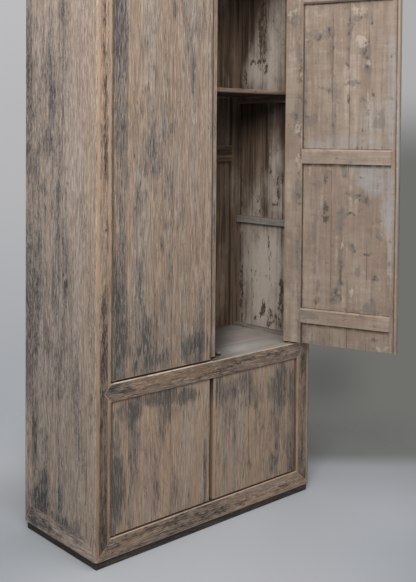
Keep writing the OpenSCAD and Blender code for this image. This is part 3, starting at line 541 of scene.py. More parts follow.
def washed_elm(tree, wood, look, rubbed=0.0, thick=0.0, blue_highlight=0.0):
    """Elm under a thin brushed coat: cream where it lies thick, grey and brown where it is rubbed."""
    brushed = cloud(tree, wood, (70, 70, 4.0), 4, 0.62)
    crossed = cloud(tree, wood, (12, 12, 46), 5, 0.7, (2, 2, 2))
    worn = cloud(tree, wood, (48, 48, 30), 6, 0.74, (4, 9, 1))
    patch = cloud(tree, wood, (9, 9, 5), 4, 0.62, (8, 3, 6))
    stain = cloud(tree, wood, (15, 15, 9), 5, 0.68, (3, 5, 9))
    fine = cloud(tree, wood, (430, 430, 60), 3, 0.7)

    # The coat is bluer where a highlight is painted on it. Smears, bare wood and thick cream break it up.
    stroke = plus(tree, times(tree, brushed, 0.62), times(tree, crossed, 0.38))
    blue_highlight_shown = times(tree, spread(tree, blue_highlight, 0.1, 0.9), spread(tree, stroke, 0.60, 0.42, 0.45, 1.0))
    smear = plus(tree, times(tree, stain, 0.8), times(tree, stroke, 0.2))
    smear = spread(tree, plus(tree, smear, times(tree, rubbed, 0.19)), 0.55, 0.63)
    level = plus(tree, times(tree, worn, 0.75), times(tree, stroke, 0.25))
    dark = spread(tree, plus(tree, level, times(tree, rubbed, 0.10)), 0.575, 0.68)
    cream = spread(tree, less(tree, times(tree, thick, 0.16), level), -0.40, -0.32)

    # Colours, from the brush strokes to the fine pores
    colour = blend(tree, spread(tree, patch, 0.40, 0.60), look["mid"], look["pale"])
    colour = layered(tree, colour, look, (
        (spread(tree, stroke, 0.48, 0.60), 0.4, "ring"),
        (spread(tree, stroke, 0.47, 0.38), 0.45, "cream"),
        (blue_highlight_shown, 0.85, "blue_highlight"),
        (smear, 0.62, "grey"),
        (dark, 0.75, "dark"),
        (cream, 0.7, "cream"),
        (spread(tree, fine, 0.54, 0.68), 0.22, "dark"),
    ))

    relief = plus(tree, times(tree, brushed, 0.4), times(tree, dark, -0.6))
    relief = plus(tree, relief, times(tree, cream, 0.5))
    relief = plus(tree, relief, times(tree, fine, -0.3))
    gloss = spread(tree, worn, 0.35, 0.65, 0.48, 0.66)
    return colour, gloss, relief


def inside_elm(tree, wood, look, coated=0.0, chipped=0.0):
    """The inside: old brown elm with what is left of a whitish coat."""
    grain = cloud(tree, wood, (60, 60, 2.4), 5, 0.65)
    patch = cloud(tree, wood, (7, 7, 3.2), 5, 0.64, (3, 7, 1))
    flakes = cloud(tree, wood, (75, 75, 34), 6, 0.75, (9, 2, 4))
    fine = cloud(tree, wood, (420, 420, 26), 3, 0.7)
    level = plus(tree, times(tree, patch, 0.8), times(tree, grain, -0.3))
    level = plus(tree, level, times(tree, coated, 0.34))
    level = plus(tree, level, look["more_coat"])
    coat = spread(tree, level, 0.24, 0.60)
    gone = spread(tree, plus(tree, flakes, times(tree, chipped, 0.15)), 0.60, 0.66)
    coat = times(tree, coat, less(tree, 1.0, times(tree, gone, 0.85)))
    colour = layered(tree, look["mid"], look, (
        (spread(tree, grain, 0.40, 0.64), look["grain"], "dark"),
        (coat, 0.86, "pale"),
        (gone, look["chips"], "dark"),
        (spread(tree, fine, 0.54, 0.70), 0.25, "dark"),
    ))
    relief = plus(tree, times(tree, coat, 0.5), times(tree, fine, -0.5))
    relief = plus(tree, relief, times(tree, grain, -0.3))
    gloss = spread(tree, coat, 0.0, 1.0, 0.75, 0.6)
    return colour, gloss, relief


def new_finish(name):
    made = bpy.data.materials.new(name)
    made.use_nodes = True
    made.node_tree.nodes.clear()
    return made


def finish_on(node):
    """Gives a node a new finish in all its slots, and returns the finish's tree."""
    made = new_finish("elm_of_" + node)
    for slot in frame["nodes"][node].material_slots:
        slot.material = made
    return made.node_tree


def end_finish(tree, coat):
    colour, gloss, relief = coat
    bump = put(tree, "ShaderNodeBump")
    bump.inputs["Strength"].default_value = 0.8
    bump.inputs["Distance"].default_value = 0.0007
    feed(tree, bump.inputs["Height"], relief)
    shader = put(tree, "ShaderNodeBsdfPrincipled")
    shader.inputs["Specular IOR Level"].default_value = 0.35
    feed(tree, shader.inputs["Base Color"], colour)
    feed(tree, shader.inputs["Roughness"], gloss)
    feed(tree, shader.inputs["Normal"], bump.outputs[0])
    end = put(tree, "ShaderNodeOutputMaterial")
    tree.links.new(shader.outputs[0], end.inputs["Surface"])


# Looks of bleached elm. Dash and thread are how many lie end to end in a metre, and the other shares
# are how much shows of the haze, streaks, pale threads, dark dashes and dirt.
GRAIN = {
    "dash": 40,
    "thread": 26,
    "haze": 0.66,
    "streaks": 0.70,
    "bright": 0.5,
    "dashes": 0.9,
    "dirt": 0.105,
}
# The walls and frame: elm made paler, in part as painted light where the side wall takes the light from the
# left
ELM = {
    **GRAIN,
    "light": tone(212, 197, 184),
    "pale": tone(195, 179, 167),
    "tan": tone(188, 165, 148),
    "ring": tone(122, 109, 99),
    "grey": tone(122, 118, 116),
    "dark": tone(56, 56, 57),
    "warm": tone(196, 158, 124),
    "haze": 0.58,
}
LEAF = {
    **GRAIN,
    "light": tone(196, 180, 164),
    "pale": tone(158, 144, 131),
    "tan": tone(158, 135, 115),
    "ring": tone(106, 91, 80),
    "grey": tone(103, 101, 100),
    "dark": tone(62, 60, 60),
    "warm": tone(184, 149, 120),
    "dirt": 0.110,
    "streaks": 0.56,
    "bright": 0.42,
    "dash": 24,
    "thread": 17,
}
LOW_LEAF = {
    **LEAF,
    "pale": tone(168, 149, 132),
    "tan": tone(170, 143, 119),
    "grey": tone(108, 101, 96),
    "dark": tone(70, 65, 62),
    "dashes": 0.82,
    "dirt": 0.13,
    "streaks": 0.38,
    "bright": 0.3,
}
POST = {
    **GRAIN,
    "light": tone(196, 172, 148),
    "pale": tone(162, 143, 127),
    "tan": tone(165, 141, 119),
    "ring": tone(112, 95, 81),
    "grey": tone(106, 97, 90),
    "dark": tone(54, 49, 47),
    "warm": tone(202, 160, 120),
    "haze": 0.5,
    "dirt": 0.165,
}
# The outer side face of the front posts: paler, in part as painted light like the side wall
POST_SIDE_LIT = {
    **GRAIN,
    "light": tone(206, 188, 170),
    "pale": tone(188, 170, 154),
    "tan": tone(186, 164, 144),
    "ring": tone(134, 116, 101),
    "grey": tone(130, 120, 112),
    "dark": tone(60, 55, 52),
    "haze": 0.4,
}
SILL = {
    **POST,
    "pale": tone(138, 119, 104),
    "tan": tone(142, 117, 96),
    "ring": tone(92, 77, 65),
    "warm": tone(204, 182, 163),
    "dirt": 0.155,
    "streaks": 0.52,
    "dash": 32,
}
LOW_RAIL = {
    **SILL,
    "pale": tone(156, 138, 122),
    "tan": tone(158, 133, 111),
    "ring": tone(102, 87, 75),
    "warm": tone(188, 160, 138),
}
PLINTH = {
    **GRAIN,
    "light": tone(86, 76, 62),
    "pale": tone(66, 61, 52),
    "tan": tone(70, 57, 45),
    "ring": tone(38, 35, 30),
    "grey": tone(54, 53, 47),
    "dark": tone(22, 21, 18),
    "warm": tone(96, 74, 56),
}
# The plinth's side pieces and cross rail: the same stain painted darker, as shade
PLINTH_SIDE_SHADED = {
    **PLINTH,
    "light": tone(60, 54, 46),
    "pale": tone(46, 43, 36),
    "tan": tone(44, 38, 30),
    "ring": tone(28, 26, 22),
    "grey": tone(38, 37, 33),
    "warm": tone(60, 50, 40),
}
# The stop block's black: a painted shade
DARK_BLOCK = {**PLINTH, "tan": tone(40, 34, 30), "pale": tone(48, 42, 38)}

# The look of the washed inner faces of the leaves
WASH = {
    "cream": tone(186, 172, 156),
    "pale": tone(158, 141, 126),
    "mid": tone(146, 127, 112),
    "ring": tone(122, 105, 92),
    "grey": tone(118, 109, 103),
    "blue_highlight": tone(159, 156, 154),
    "dark": tone(72, 63, 58),
    "warm": tone(184, 146, 112),
}

# Looks of the inside: how much grain and how many chips show, and how much more coat is left
INSIDE = {
    "grain": 1.0,
    "chips": 0.7,
    "more_coat": 0.0,
    "pale": tone(210, 199, 187),
    "mid": tone(124, 103, 85),
    "dark": tone(68, 55, 46),
    "warm": tone(166, 130, 98),
}
SHELF = {
    **INSIDE,
    "pale": tone(162, 148, 134),
    "mid": tone(138, 118, 100),
    "dark": tone(88, 73, 61),
    "warm": tone(176, 144, 114),
}
CLEAT = {
    **INSIDE,
    "more_coat": 0.12,
    "pale": tone(178, 174, 169),
    "mid": tone(138, 128, 118),
    "dark": tone(76, 67, 60),
    "warm": tone(166, 146, 126),
}
FLOOR_BOARD = {
    "grain": 0.35,
    "chips": 0.2,
    "more_coat": 0.08,
    "pale": tone(175, 167, 160),
    "mid": tone(160, 151, 142),
    "dark": tone(132, 122, 113),
    "warm": tone(150, 126, 104),
}

# Single colours: black painted shade, brown dust and painted shade, brown painted shade in a gap, the
# painted shadow under the cover strip, a brown joint line, a painted shade line on the cover strip,
# painted highlights on the floor and the battens, warm worn lines that on the posts are painted
# highlights too, and painted light on the open leaf's edge
SHADE_BLACK = tone(44, 37, 32)
DUST_AND_SHADE = tone(62, 50, 42)
GAP_SHADE_BROWN = tone(148, 118, 94)
COVER_SHADOW = tone(26, 21, 18)
STRIP_LINE_BROWN = tone(74, 54, 40)
COVER_SHADE_BROWN = tone(72, 56, 44)
FLOOR_HIGHLIGHT = tone(177, 175, 175)
BATTEN_HIGHLIGHT = tone(190, 168, 150)
POST_HIGHLIGHT_LINE = tone(172, 141, 115)
LEAF_LINE = tone(172, 145, 122)
EDGE_LIGHT_COOL = tone(184, 178, 172)
EDGE_LIGHT_WARM = tone(192, 166, 144)

# How much an arris is rubbed warm on most pieces and on the shaded left ones, and how broad it is
RUBBED, LESS_RUBBED = 0.95, 0.4
FRAME_ARRIS, THIN_ARRIS = 0.004, 0.003


def warm_arrises(tree, coat, look, radius, share):
    worn = edge_wear(tree, radius)
    left = ragged(tree, own_place(tree), (26, 26, 26), 0.6, 0.36, 0.52, 0.4, share)
    return painted(tree, coat, times(tree, worn, left), look["warm"])


def dim_down(tree, coat, raw, low, high, least):
    """Darker towards the foot."""
    height = parts_of(tree, raw)[Z]
    broken = cloud(tree, raw, (9, 9, 3), 4, 0.6)
    level = plus(tree, height, times(tree, broken, 0.3))
    dim = spread(tree, level, low + 0.15, high + 0.15, least, 1.0)
    return painted(tree, coat, 1.0, joined(tree, dim), "MULTIPLY")


# Which marks lie on which pieces: the way the marked face looks, and its rows
DIRT = {
    "side_boards_left": (("x", SIDE_MARKS),),
    "back_post_left": (("x", SIDE_MARKS),),
    "bottom_rail_left": (("x", SIDE_MARKS),),
    "front_post_left": (("x", SIDE_MARKS), ("y", POST_MARKS)),
    "sill_rail": (("y", SILL_MARKS),),
    "bottom_rail_front": (("y", RAIL_MARKS),),
    "front_post_right": (("y", RIGHT_POST_MARKS),),
}
for leaf, leaf_rows in (
    ("upper_left", LEAF_MARKS),
    ("lower_left", LOW_LEFT_MARKS),
    ("lower_right", LOW_RIGHT_MARKS),
):
    for part in ("_boards", "_stile", "_edge_strip"):
        DIRT[leaf + part] = (("y", leaf_rows),)
CLEAN = {
    "side_boards_left": (("x", SIDE_PALE),),
    "front_post_left": (("x", SIDE_PALE),),
    "upper_left_boards": (("y", LEAF_PALE),),
    "lower_left_boards": (("y", LOW_LEFT_PALE),),
}

# The middle of the loops on the tall leaves
ARCHES = {
    "upper_left_boards": -0.305,
    "upper_right_boards": 0.290,
}

# Joint lines on the outside, with the lines of dirt and painted shade along the left stiles and of painted
# shade on the low left leaf's edge strip: the direction that they lie across, and each line's place and width
SEAM_AND_SHADE_LINES = {
    "side_boards_left": (Y, ((SIDE_SEAM, 0.0018),)),
    "side_boards_right": (Y, ((SIDE_SEAM, 0.0018),)),
    "upper_left_stile": (X, ((STILE_DIRT_AND_SHADE_LINE, 0.0036),)),
    "lower_left_stile": (X, ((STILE_DIRT_AND_SHADE_LINE, 0.0032),)),
    "lower_left_edge_strip": (X, ((LOW_STRIP_SHADE_LINE, 0.0022),)),
}
INNER_SEAMS = {}
for leaf, seam in LEAF_SEAMS.items():
    SEAM_AND_SHADE_LINES[leaf + "_boards"] = (X, ((seam, 0.0016),))
    INNER_SEAMS[leaf + "_boards"] = ((seam, 0.0020),)
INNER_SEAMS["upper_right_boards"] = ((LEAF_SEAMS["upper_right"], 0.0013), (0.243, 0.0011), (0.106, 0.0011))
OPEN_LEAF_SHADES = ((0.3560, 0.0042), (0.0025, 0.0030))

# Where a piece darkens towards its foot: the height where it begins, where it ends, and what is left
BOARD_DIM = (0.0, 1.0, 0.88)
LEFT_DIM = (0.0, 1.6, 0.78)
DIMMED = {
    "side_boards_left": (0.0, 1.7, 0.73),
    "upper_left_boards": (0.30, 0.95, 0.80),
    "upper_right_boards": (0.25, 0.85, 0.66),
    "upper_right_stile": (0.25, 0.85, 0.84),
}


def bleached_floor(tree, wood, raw):
    """The compartment floor: rubbed grey, with a painted bluish highlight near the front and a painted shadow
    of the shut left leaf.
    """
    coat = inside_elm(tree, wood, FLOOR_BOARD)
    x, y, z = parts_of(tree, raw)
    flat = joined(tree, x, y, 0.0)
    # A painted highlight near the front, where the floor catches the light
    off = aim(tree, "LENGTH", aim(tree, "MULTIPLY_ADD", flat, (4.2, 22.0, 0.0), (-0.5, 2.9, 0.0)))
    broken = cloud(tree, raw, (30, 30, 1), 4, 0.6)
    pale = times(tree, spread(tree, off, 1.3, 0.2), spread(tree, broken, 0.35, 0.6, 0.4, 0.9))
    coat = painted(tree, coat, pale, FLOOR_HIGHLIGHT)
    # A painted shadow of the shut left leaf across the floor behind it
    across = plus(tree, less(tree, x, y), times(tree, less(tree, broken, 0.5), 0.03))
    return painted(tree, coat, spread(tree, across, 0.36, 0.19, 0.0, 0.78), SHADE_BLACK)


def shadow_under_cover(tree, coat, raw):
    """A painted shadow: the dark line on the sill where the cover strip of the shut leaf stands over it."""
    x, y, z = parts_of(tree, raw)
    off = less(tree, plus(tree, y, 0.1856), times(tree, x, 0.39))
    line = spread(tree, size_of(tree, off), 0.0085, 0.0045)
    span = times(tree, above(tree, x, -0.04), spread(tree, x, 0.050, 0.042))
    amount = times(tree, times(tree, line, span), above(tree, z, SILL_TOP - 0.0015))
    return painted(tree, coat, times(tree, amount, 0.95), COVER_SHADOW)


def reveal_shade(tree, coat, raw, share):
    """Painted shade on the narrow faces around the doors, behind the front arrises."""
    x, y, z = parts_of(tree, raw)
    behind = spread(tree, y, FRONT + 0.002, FRONT + ARRIS)
    within = below(tree, size_of(tree, x), HALF_WIDTH - 0.04)
    under = times(tree, below(tree, z, CABINET_TOP - 0.005), above(tree, z, 0.03))
    amount = times(tree, times(tree, behind, within), times(tree, under, share))
    return painted(tree, coat, amount, SHADE_BLACK)


# The heights between which the painted highlight on the top arris of a rail begins
TOP_ARRIS_HIGHLIGHTS = {
    "sill_rail": (SILL_TOP - 0.0045, SILL_TOP - 0.0015),
    "bottom_rail_front": (LOW_RAIL_TOP - 0.0035, LOW_RAIL_TOP - 0.0010),
}


def top_arris_highlight(tree, coat, raw, look, low, high):
    """A painted highlight: the pale line where the rounded top arris of a rail catches the light."""
    x, y, z = parts_of(tree, raw)
    line = times(tree, spread(tree, z, low, high), below(tree, y, FRONT + ARRIS))
    left = ragged(tree, raw, (22, 22, 60), 0.62, 0.36, 0.52, 0.45, 1.0)
    return painted(tree, coat, times(tree, line, left), look["warm"])


def gap_edge_shade(tree, coat, raw):
    """Painted shade on the meeting edge of the low right leaf, where it is seen in the gap: brown, darker at
    its top.
    """
    x, y, z = parts_of(tree, raw)
    amount = spread(tree, x, LOW_STRIP_EDGE + 0.0012, LOW_STRIP_EDGE + 0.0006, 0.0, 0.85)
    dirt = blend(tree, spread(tree, z, 0.40, 0.50), GAP_SHADE_BROWN, DUST_AND_SHADE)
    return painted(tree, coat, amount, dirt)


def batten_dust_and_shade(tree, coat, raw):
    """The brown line of dust and painted shade under and over each batten of the tall leaf."""
    x, y, z = parts_of(tree, raw)
    span = times(tree, above(tree, x, BATTEN_REACH[LOW]), below(tree, x, BATTEN_REACH[HIGH]))
    total = 0.0
    for low, deep in zip(BATTEN_FEET, (0.017, 0.017, 0.008)):
        high = low + BATTEN_HEIGHT
        under = times(tree, spread(tree, z, low - deep, low - 0.003), below(tree, z, low + 0.002))
        upper = times(tree, spread(tree, z, high + 0.005, high + 0.002), above(tree, z, high - 0.002))
        total = most(tree, total, most(tree, under, times(tree, upper, 0.7)))
    left = ragged(tree, raw, (34, 34, 12), 0.65, 0.36, 0.56, 0.45, 0.95)
    return painted(tree, coat, times(tree, times(tree, total, span), left), DUST_AND_SHADE)


def batten_highlights_and_foot_shade(tree, coat, raw):
    """A painted highlight along the top arris of each batten, and painted shade at the foot of the top one.
    """
    z = parts_of(tree, raw)[Z]
    total = 0.0
    for low in BATTEN_FEET:
        high = low + BATTEN_HEIGHT
        line = times(tree, spread(tree, z, high - 0.006, high - 0.003), below(tree, z, high + 0.001))
        total = most(tree, total, line)
    left = ragged(tree, raw, (24, 24, 60), 0.65, 0.40, 0.54, 0.3, 0.95)
    coat = painted(tree, coat, times(tree, total, left), BATTEN_HIGHLIGHT)
    # Painted shade at the foot of the top batten
    top = BATTEN_FEET[-1]
    foot = times(tree, spread(tree, z, top + 0.009, top + 0.005), above(tree, z, top - 0.055))
    return painted(tree, coat, times(tree, foot, 0.7), DUST_AND_SHADE)


def leaf_edge(tree, coat, raw):
    """The open leaf's free edge: a brown line at the strip's joint and painted light on the edge beyond it,
    stronger higher up.
    """
    x, y, z = parts_of(tree, raw)
    off = size_of(tree, less(tree, x, OPEN_STRIP_JOINT))
    line = times(tree, spread(tree, off, 0.0026, 0.0012), above(tree, y, LEAF_BACK - 0.0025))
    left = ragged(tree, raw, (20, 20, 7), 0.62, 0.36, 0.54, 0.55, 0.95)
    coat = painted(tree, coat, times(tree, line, left), STRIP_LINE_BROWN)
    # Painted light on the edge face beyond the line
    beyond = spread(tree, x, -0.0048, -0.0058)
    height = plus(tree, z, times(tree, less(tree, left, 0.75), 0.3))
    edge_light = blend(tree, spread(tree, height, 1.50, 1.62), EDGE_LIGHT_COOL, EDGE_LIGHT_WARM)
    return painted(tree, coat, times(tree, beyond, spread(tree, height, 0.95, 1.35, 0.15, 0.85)), edge_light)


def warm_line(tree, coat, raw, line, width, warm):
    """A warm line that runs up a front: rubbed wear, and on the posts also a painted highlight."""
    off = size_of(tree, less(tree, parts_of(tree, raw)[X], line))
    left = ragged(tree, raw, (20, 20, 6), 0.62, 0.36, 0.56, 0.35, 0.85)
    return painted(tree, coat, times(tree, spread(tree, off, width, width * 0.4), left), warm)


def shade_under_shelf(tree, coat, raw, low):
    """Painted shade on the walls under the shelf."""
    z = parts_of(tree, raw)[Z]
    shelf_shade = times(tree, below(tree, z, SHELF_FOOT + 0.002), spread(tree, z, low, low + 0.16, 0.0, 0.5))
    return painted(tree, coat, 1.0, joined(tree, less(tree, 1.0, shelf_shade)), "MULTIPLY")


def shelf_finish():
    """The shelf, with painted shade along the lower arris of its front edge and below."""
    tree = finish_on("shelf")
    raw = own_place(tree)
    coat = inside_elm(tree, pattern_on(tree, raw, "x", 21), SHELF)
    coat = warm_arrises(tree, coat, SHELF, THIN_ARRIS, 0.5)
    low = spread(tree, parts_of(tree, raw)[Z], SHELF_FOOT + 0.0055, SHELF_FOOT + 0.0025, 0.0, 0.8)
    end_finish(tree, painted(tree, coat, low, SHADE_BLACK))


def look_of_frame(node):
    if node == "sill_rail":
        return SILL
    if node == "bottom_rail_front":
        return LOW_RAIL
    return POST if node.startswith("front_post") else ELM


def look_of_board(node):
    if node.startswith("lower"):
        return LOW_LEAF
    return LEAF if node.startswith("upper") else ELM


# Each front post: how much light its foot keeps, and where its warm lines of wear and painted highlight run,
# with their widths
POST_FRONTS = {
    "front_post_left": (0.62, ((-HALF_WIDTH + 0.0065, 0.0075), (LEFT_POST_EDGE - 0.010, 0.0060))),
    "front_post_right": (0.76, ((RIGHT_POST_EDGE + 0.0045, 0.0060), (HALF_WIDTH - 0.0155, 0.0060))),
}


def post_front(tree, coat, raw, node):
    """The front of a post: warm lines of wear and painted highlight along both arrises, darker low down."""
    least, lines = POST_FRONTS[node]
    coat = dim_down(tree, coat, raw, 0.35, 0.75, least)
    for line, width in lines:
        coat = warm_line(tree, coat, raw, line, width, POST_HIGHLIGHT_LINE)
    return coat


def sill_top(tree, coat, wood, raw):
    """The right half of the sill's top, worn like the floor behind it, with the floor's painted highlight and
    shadow.
    """
    x, y, z = parts_of(tree, raw)
    top = times(tree, spread(tree, z, SILL_TOP - 0.0014, SILL_TOP - 0.0004), spread(tree, x, -0.012, -0.009))
    coat = over(tree, top, coat, bleached_floor(tree, wood, raw))
    return shadow_under_cover(tree, coat, raw)


def frame_finish(node, grain, seed):
    """Posts and rails: elm with warm arrises, and the brown inside colour where they face the inside."""
    tree = finish_on(node)
    raw = own_place(tree)
    wood = pattern_on(tree, raw, grain, seed)
    dirt = gather(tree, raw, node, DIRT)
    clean = gather(tree, raw, node, CLEAN)
    look = look_of_frame(node)
    coat = bleached_elm(tree, wood, look, dirt, clean)
    x, y, z = parts_of(tree, raw)
    if node.startswith("front_post"):
        coat = post_front(tree, coat, raw, node)
        # The outer side face takes the paler look, in part painted light
        outside = spread(tree, size_of(tree, x), HALF_WIDTH - 0.003, HALF_WIDTH - 0.001)
        coat = over(tree, outside, coat, bleached_elm(tree, wood, POST_SIDE_LIT, dirt, clean))
    # Painted shade in the reveals behind the front arrises
    coat = reveal_shade(tree, coat, raw, 0.3 if node == "front_post_right" else 0.85)
    # A painted highlight along the top arris of the rails
    if node in TOP_ARRIS_HIGHLIGHTS:
        coat = top_arris_highlight(tree, coat, raw, look, *TOP_ARRIS_HIGHLIGHTS[node])
    if node == "sill_rail":
        coat = sill_top(tree, coat, wood, raw)
    share = LESS_RUBBED if node == "bottom_rail_left" else RUBBED
    coat = warm_arrises(tree, coat, look, FRAME_ARRIS, share)
    within = times(tree, above(tree, y, POST_BACK - 0.0005), below(tree, y, BACK - 0.0005))
    within = times(tree, within, below(tree, size_of(tree, x), HALF_WIDTH - 0.0005))
    if not node.startswith("top_rail"):
        coat = over(tree, within, coat, inside_elm(tree, wood, INSIDE))
    end_finish(tree, dim_down(tree, coat, raw, *(LEFT_DIM if node.endswith("left") else BOARD_DIM)))


def outer_face(tree, wood, raw, node):
    """The bleached outside of walls and leaves, with their marks and joints."""
    look = look_of_board(node)
    dirt = gather(tree, raw, node, DIRT)
    clean = gather(tree, raw, node, CLEAN)
    arches = arches_on(tree, raw, ARCHES[node]) if node in ARCHES else 0.0
    coat = bleached_elm(tree, wood, look, dirt, clean, arches)
    if node in SEAM_AND_SHADE_LINES:
        coat = joint_and_shade_lines(tree, coat, raw, *SEAM_AND_SHADE_LINES[node], look["dark"])
    share = LESS_RUBBED if node == "side_boards_left" else RUBBED
    coat = warm_arrises(tree, coat, look, FRAME_ARRIS, share)
    if node == "upper_left_boards":
        coat = warm_line(tree, coat, raw, FREE_EDGE_LINE, 0.0045, LEAF_LINE)
    return coat


def wall_face(tree, wood, raw, node):
    """The inner face of a wall: the right one's coat and chips lie where they are seen."""
    coated = chipped = 0.0
    if node == "side_boards_right":
        coated = marks(tree, raw, "x", WALL_COAT, 1.7, 0.0)
        chipped = marks(tree, raw, "x", WALL_MARKS, 1.2)
    coat = inside_elm(tree, wood, INSIDE, coated, chipped)
    if node.startswith("side_boards"):
        # Painted shade under the shelf
        coat = shade_under_shelf(tree, coat, raw, 1.30 if node.endswith("right") else 1.42)
    return coat


def washed_face(tree, wood, raw, node):
    """The inner face of a leaf: the open one's smears and bare spots lie where they are seen."""
    rubbed = thick = blue_highlight = 0.0
    if node.startswith("upper_right"):
        rubbed = marks(tree, raw, "y", OPEN_MARKS, 1.5)
        thick = marks(tree, raw, "y", OPEN_CREAM, 1.3)
        # A painted bluish highlight on the open leaf
        blue_highlight = marks(tree, raw, "y", OPEN_BLUE_HIGHLIGHTS, 1.1)
    coat = washed_elm(tree, wood, WASH, rubbed, thick, blue_highlight)
    if node in INNER_SEAMS:
        coat = joint_and_shade_lines(tree, coat, raw, X, INNER_SEAMS[node], WASH["dark"])
    if node == "upper_right_boards":
        coat = joint_and_shade_lines(tree, coat, raw, X, OPEN_LEAF_SHADES, SHADE_BLACK)
        coat = batten_dust_and_shade(tree, coat, raw)
    coat = warm_arrises(tree, coat, WASH, THIN_ARRIS, 0.6)
    if node == "upper_right_edge_strip":
        coat = leaf_edge(tree, coat, raw)
    return coat


def board_finish(node, grain, seed, axis, limit, inner_face, seams=None, seam_axis=Y):
    """Boards with one finish outside and another on the side of the limit that faces the cabinet's middle."""
    tree = finish_on(node)
    raw = place_on(tree, node)
    wood = pattern_on(tree, raw, grain, seed, seams, seam_axis)
    outer = outer_face(tree, wood, raw, node)
    inner = inner_face(tree, wood, raw, node)
    place = parts_of(tree, raw)[axis]
    inside = above(tree, place, limit) if limit < 0 else below(tree, place, limit)
    coat = over(tree, inside, outer, inner)
    # Painted shade in the gap between the low leaves
    if node == "lower_right_edge_strip":
        coat = gap_edge_shade(tree, coat, raw)
    end_finish(tree, dim_down(tree, coat, own_place(tree), *DIMMED.get(node, BOARD_DIM)))


def plain_finish(node, grain, seed, make, look, seams=None):
    """A piece with one finish all over."""
    tree = finish_on(node)
    raw = place_on(tree, node)
    wood = pattern_on(tree, raw, grain, seed, seams)
    end_finish(tree, warm_arrises(tree, make(tree, wood, look), look, THIN_ARRIS, 0.5))


def block_finish():
    """The small stop block: black below as painted shade, pale near its top."""
    tree = finish_on("door_stop_block")
    raw = own_place(tree)
    wood = pattern_on(tree, raw, "x", 16)
    top = spread(tree, parts_of(tree, raw)[Z], BLOCK_TOP - 0.0085, BLOCK_TOP - 0.0055, 0.0, 0.6)
    end_finish(tree, over(tree, top, bleached_elm(tree, wood, DARK_BLOCK), bleached_elm(tree, wood, POST)))


def cover_strip_finish():
    """The strip that covers the joint of the tall leaves, with a line of painted shade where the other leaf
    bears.
    """
    tree = finish_on("upper_left_cover_strip")
    raw = own_place(tree)
    coat = bleached_elm(tree, pattern_on(tree, raw, "z", 90), LEAF)
    coat = warm_arrises(tree, coat, LEAF, THIN_ARRIS, 0.5)
    end_finish(tree, joint_and_shade_lines(tree, coat, raw, X, ((COVER_SHADE_LINE, 0.0030),), COVER_SHADE_BROWN))


def batten_finish(node, seed):
    tree = finish_on(node)
    raw = place_on(tree, node)
    coat = washed_elm(tree, pattern_on(tree, raw, "x", seed), WASH)
    coat = warm_arrises(tree, coat, WASH, THIN_ARRIS, 0.5)
    end_finish(tree, batten_highlights_and_foot_shade(tree, coat, raw))


def floor_finish():
    tree = finish_on("floor_boards")
    raw = own_place(tree)
    coat = bleached_floor(tree, pattern_on(tree, raw, "x", 37, FLAT_SEAMS), raw)
    lines = tuple((seam, 0.0012) for seam in FLAT_SEAMS)
    end_finish(tree, joint_and_shade_lines(tree, coat, raw, Y, lines, FLOOR_BOARD["dark"]))


# The pieces in turn. The last number of each call is the seed of its pattern.
def finish_carcass():
    for number, side in enumerate(("left", "right")):
        frame_finish("front_post_" + side, "z", 1 + number)
        frame_finish("back_post_" + side, "z", 3 + number)
        frame_finish("top_rail_" + side, "y", 5 + number)
        frame_finish("bottom_rail_" + side, "y", 7 + number)
        boards = "side_boards_" + side
        board_finish(boards, "z", 9 + number, X, middle_of(boards, X), wall_face, (SIDE_SEAM,))
    for number, end in enumerate(("front", "back")):
        frame_finish("top_rail_" + end, "x", 11 + number)
        frame_finish("bottom_rail_" + end, "x", 13 + number)
    frame_finish("sill_rail", "x", 15)
    block_finish()
    board_finish("top_boards", "x", 17, Z, middle_of("top_boards", Z), wall_face, FLAT_SEAMS)
    for number, level in enumerate(("upper", "lower")):
        boards = "back_boards_" + level
        board_finish(boards, "z", 18 + number, Y, middle_of(boards, Y), wall_face, BACK_SEAMS, X)


# Pieces inside with one finish: their names, the way their grain runs, their first seed and their look
INSIDE_ROWS = (
    (("floor_rail_back", "back_rail_middle"), "x", 22, INSIDE),
    (("floor_rail_left", "floor_rail_right", "spare_cleat_left", "spare_cleat_right"), "y", 25, CLEAT),
    (("shelf_cleat_left", "shelf_cleat_right"), "y", 29, INSIDE),
    (("top_battens", "floor_battens", "bottom_battens"), "y", 33, INSIDE),
)


def finish_inside():
    shelf_finish()
    for nodes, grain, seed, look in INSIDE_ROWS:
        for number, node in enumerate(nodes):
            plain_finish(node, grain, seed + number, inside_elm, look)
    plain_finish("bottom_boards", "x", 38, inside_elm, FLOOR_BOARD, FLAT_SEAMS)
    floor_finish()
    for number, part in enumerate(("front", "back", "left", "right", "cross_rail")):
        grain, look = ("x", PLINTH) if part in ("front", "back") else ("y", PLINTH_SIDE_SHADED)
        plain_finish("plinth_" + part, grain, 41 + number, bleached_elm, look)


def finish_leaves():
    for number, (leaf, seam) in enumerate(LEAF_SEAMS.items()):
        seed = 51 + number * 6
        board_finish(leaf + "_boards", "z", seed, Y, LEAF_MIDDLE, washed_face, (seam,), X)
        for part, step in (("_stile", 6), ("_edge_strip", 11)):
            board_finish(leaf + part, "z", seed + step, Y, LEAF_MIDDLE, washed_face)
        batten_finish(leaf + "_battens", seed + 3)
    cover_strip_finish()


# Camera, as the photograph's own: its place in metres, its turns, and its focus and middle in pixels
CAMERA_PLACE = Vector((-2.1234, -2.5031, 1.3803))
LOOK_TURN = math.radians(42.016)
LOOK_TILT = math.radians(-1.655)
LOOK_ROLL = math.radians(0.417)
FOCUS = 904.21
MIDDLE = (203.44, 157.62)
PHOTO_WIDTH, PHOTO_HEIGHT = 416, 582
SENSOR_HEIGHT = 36.0


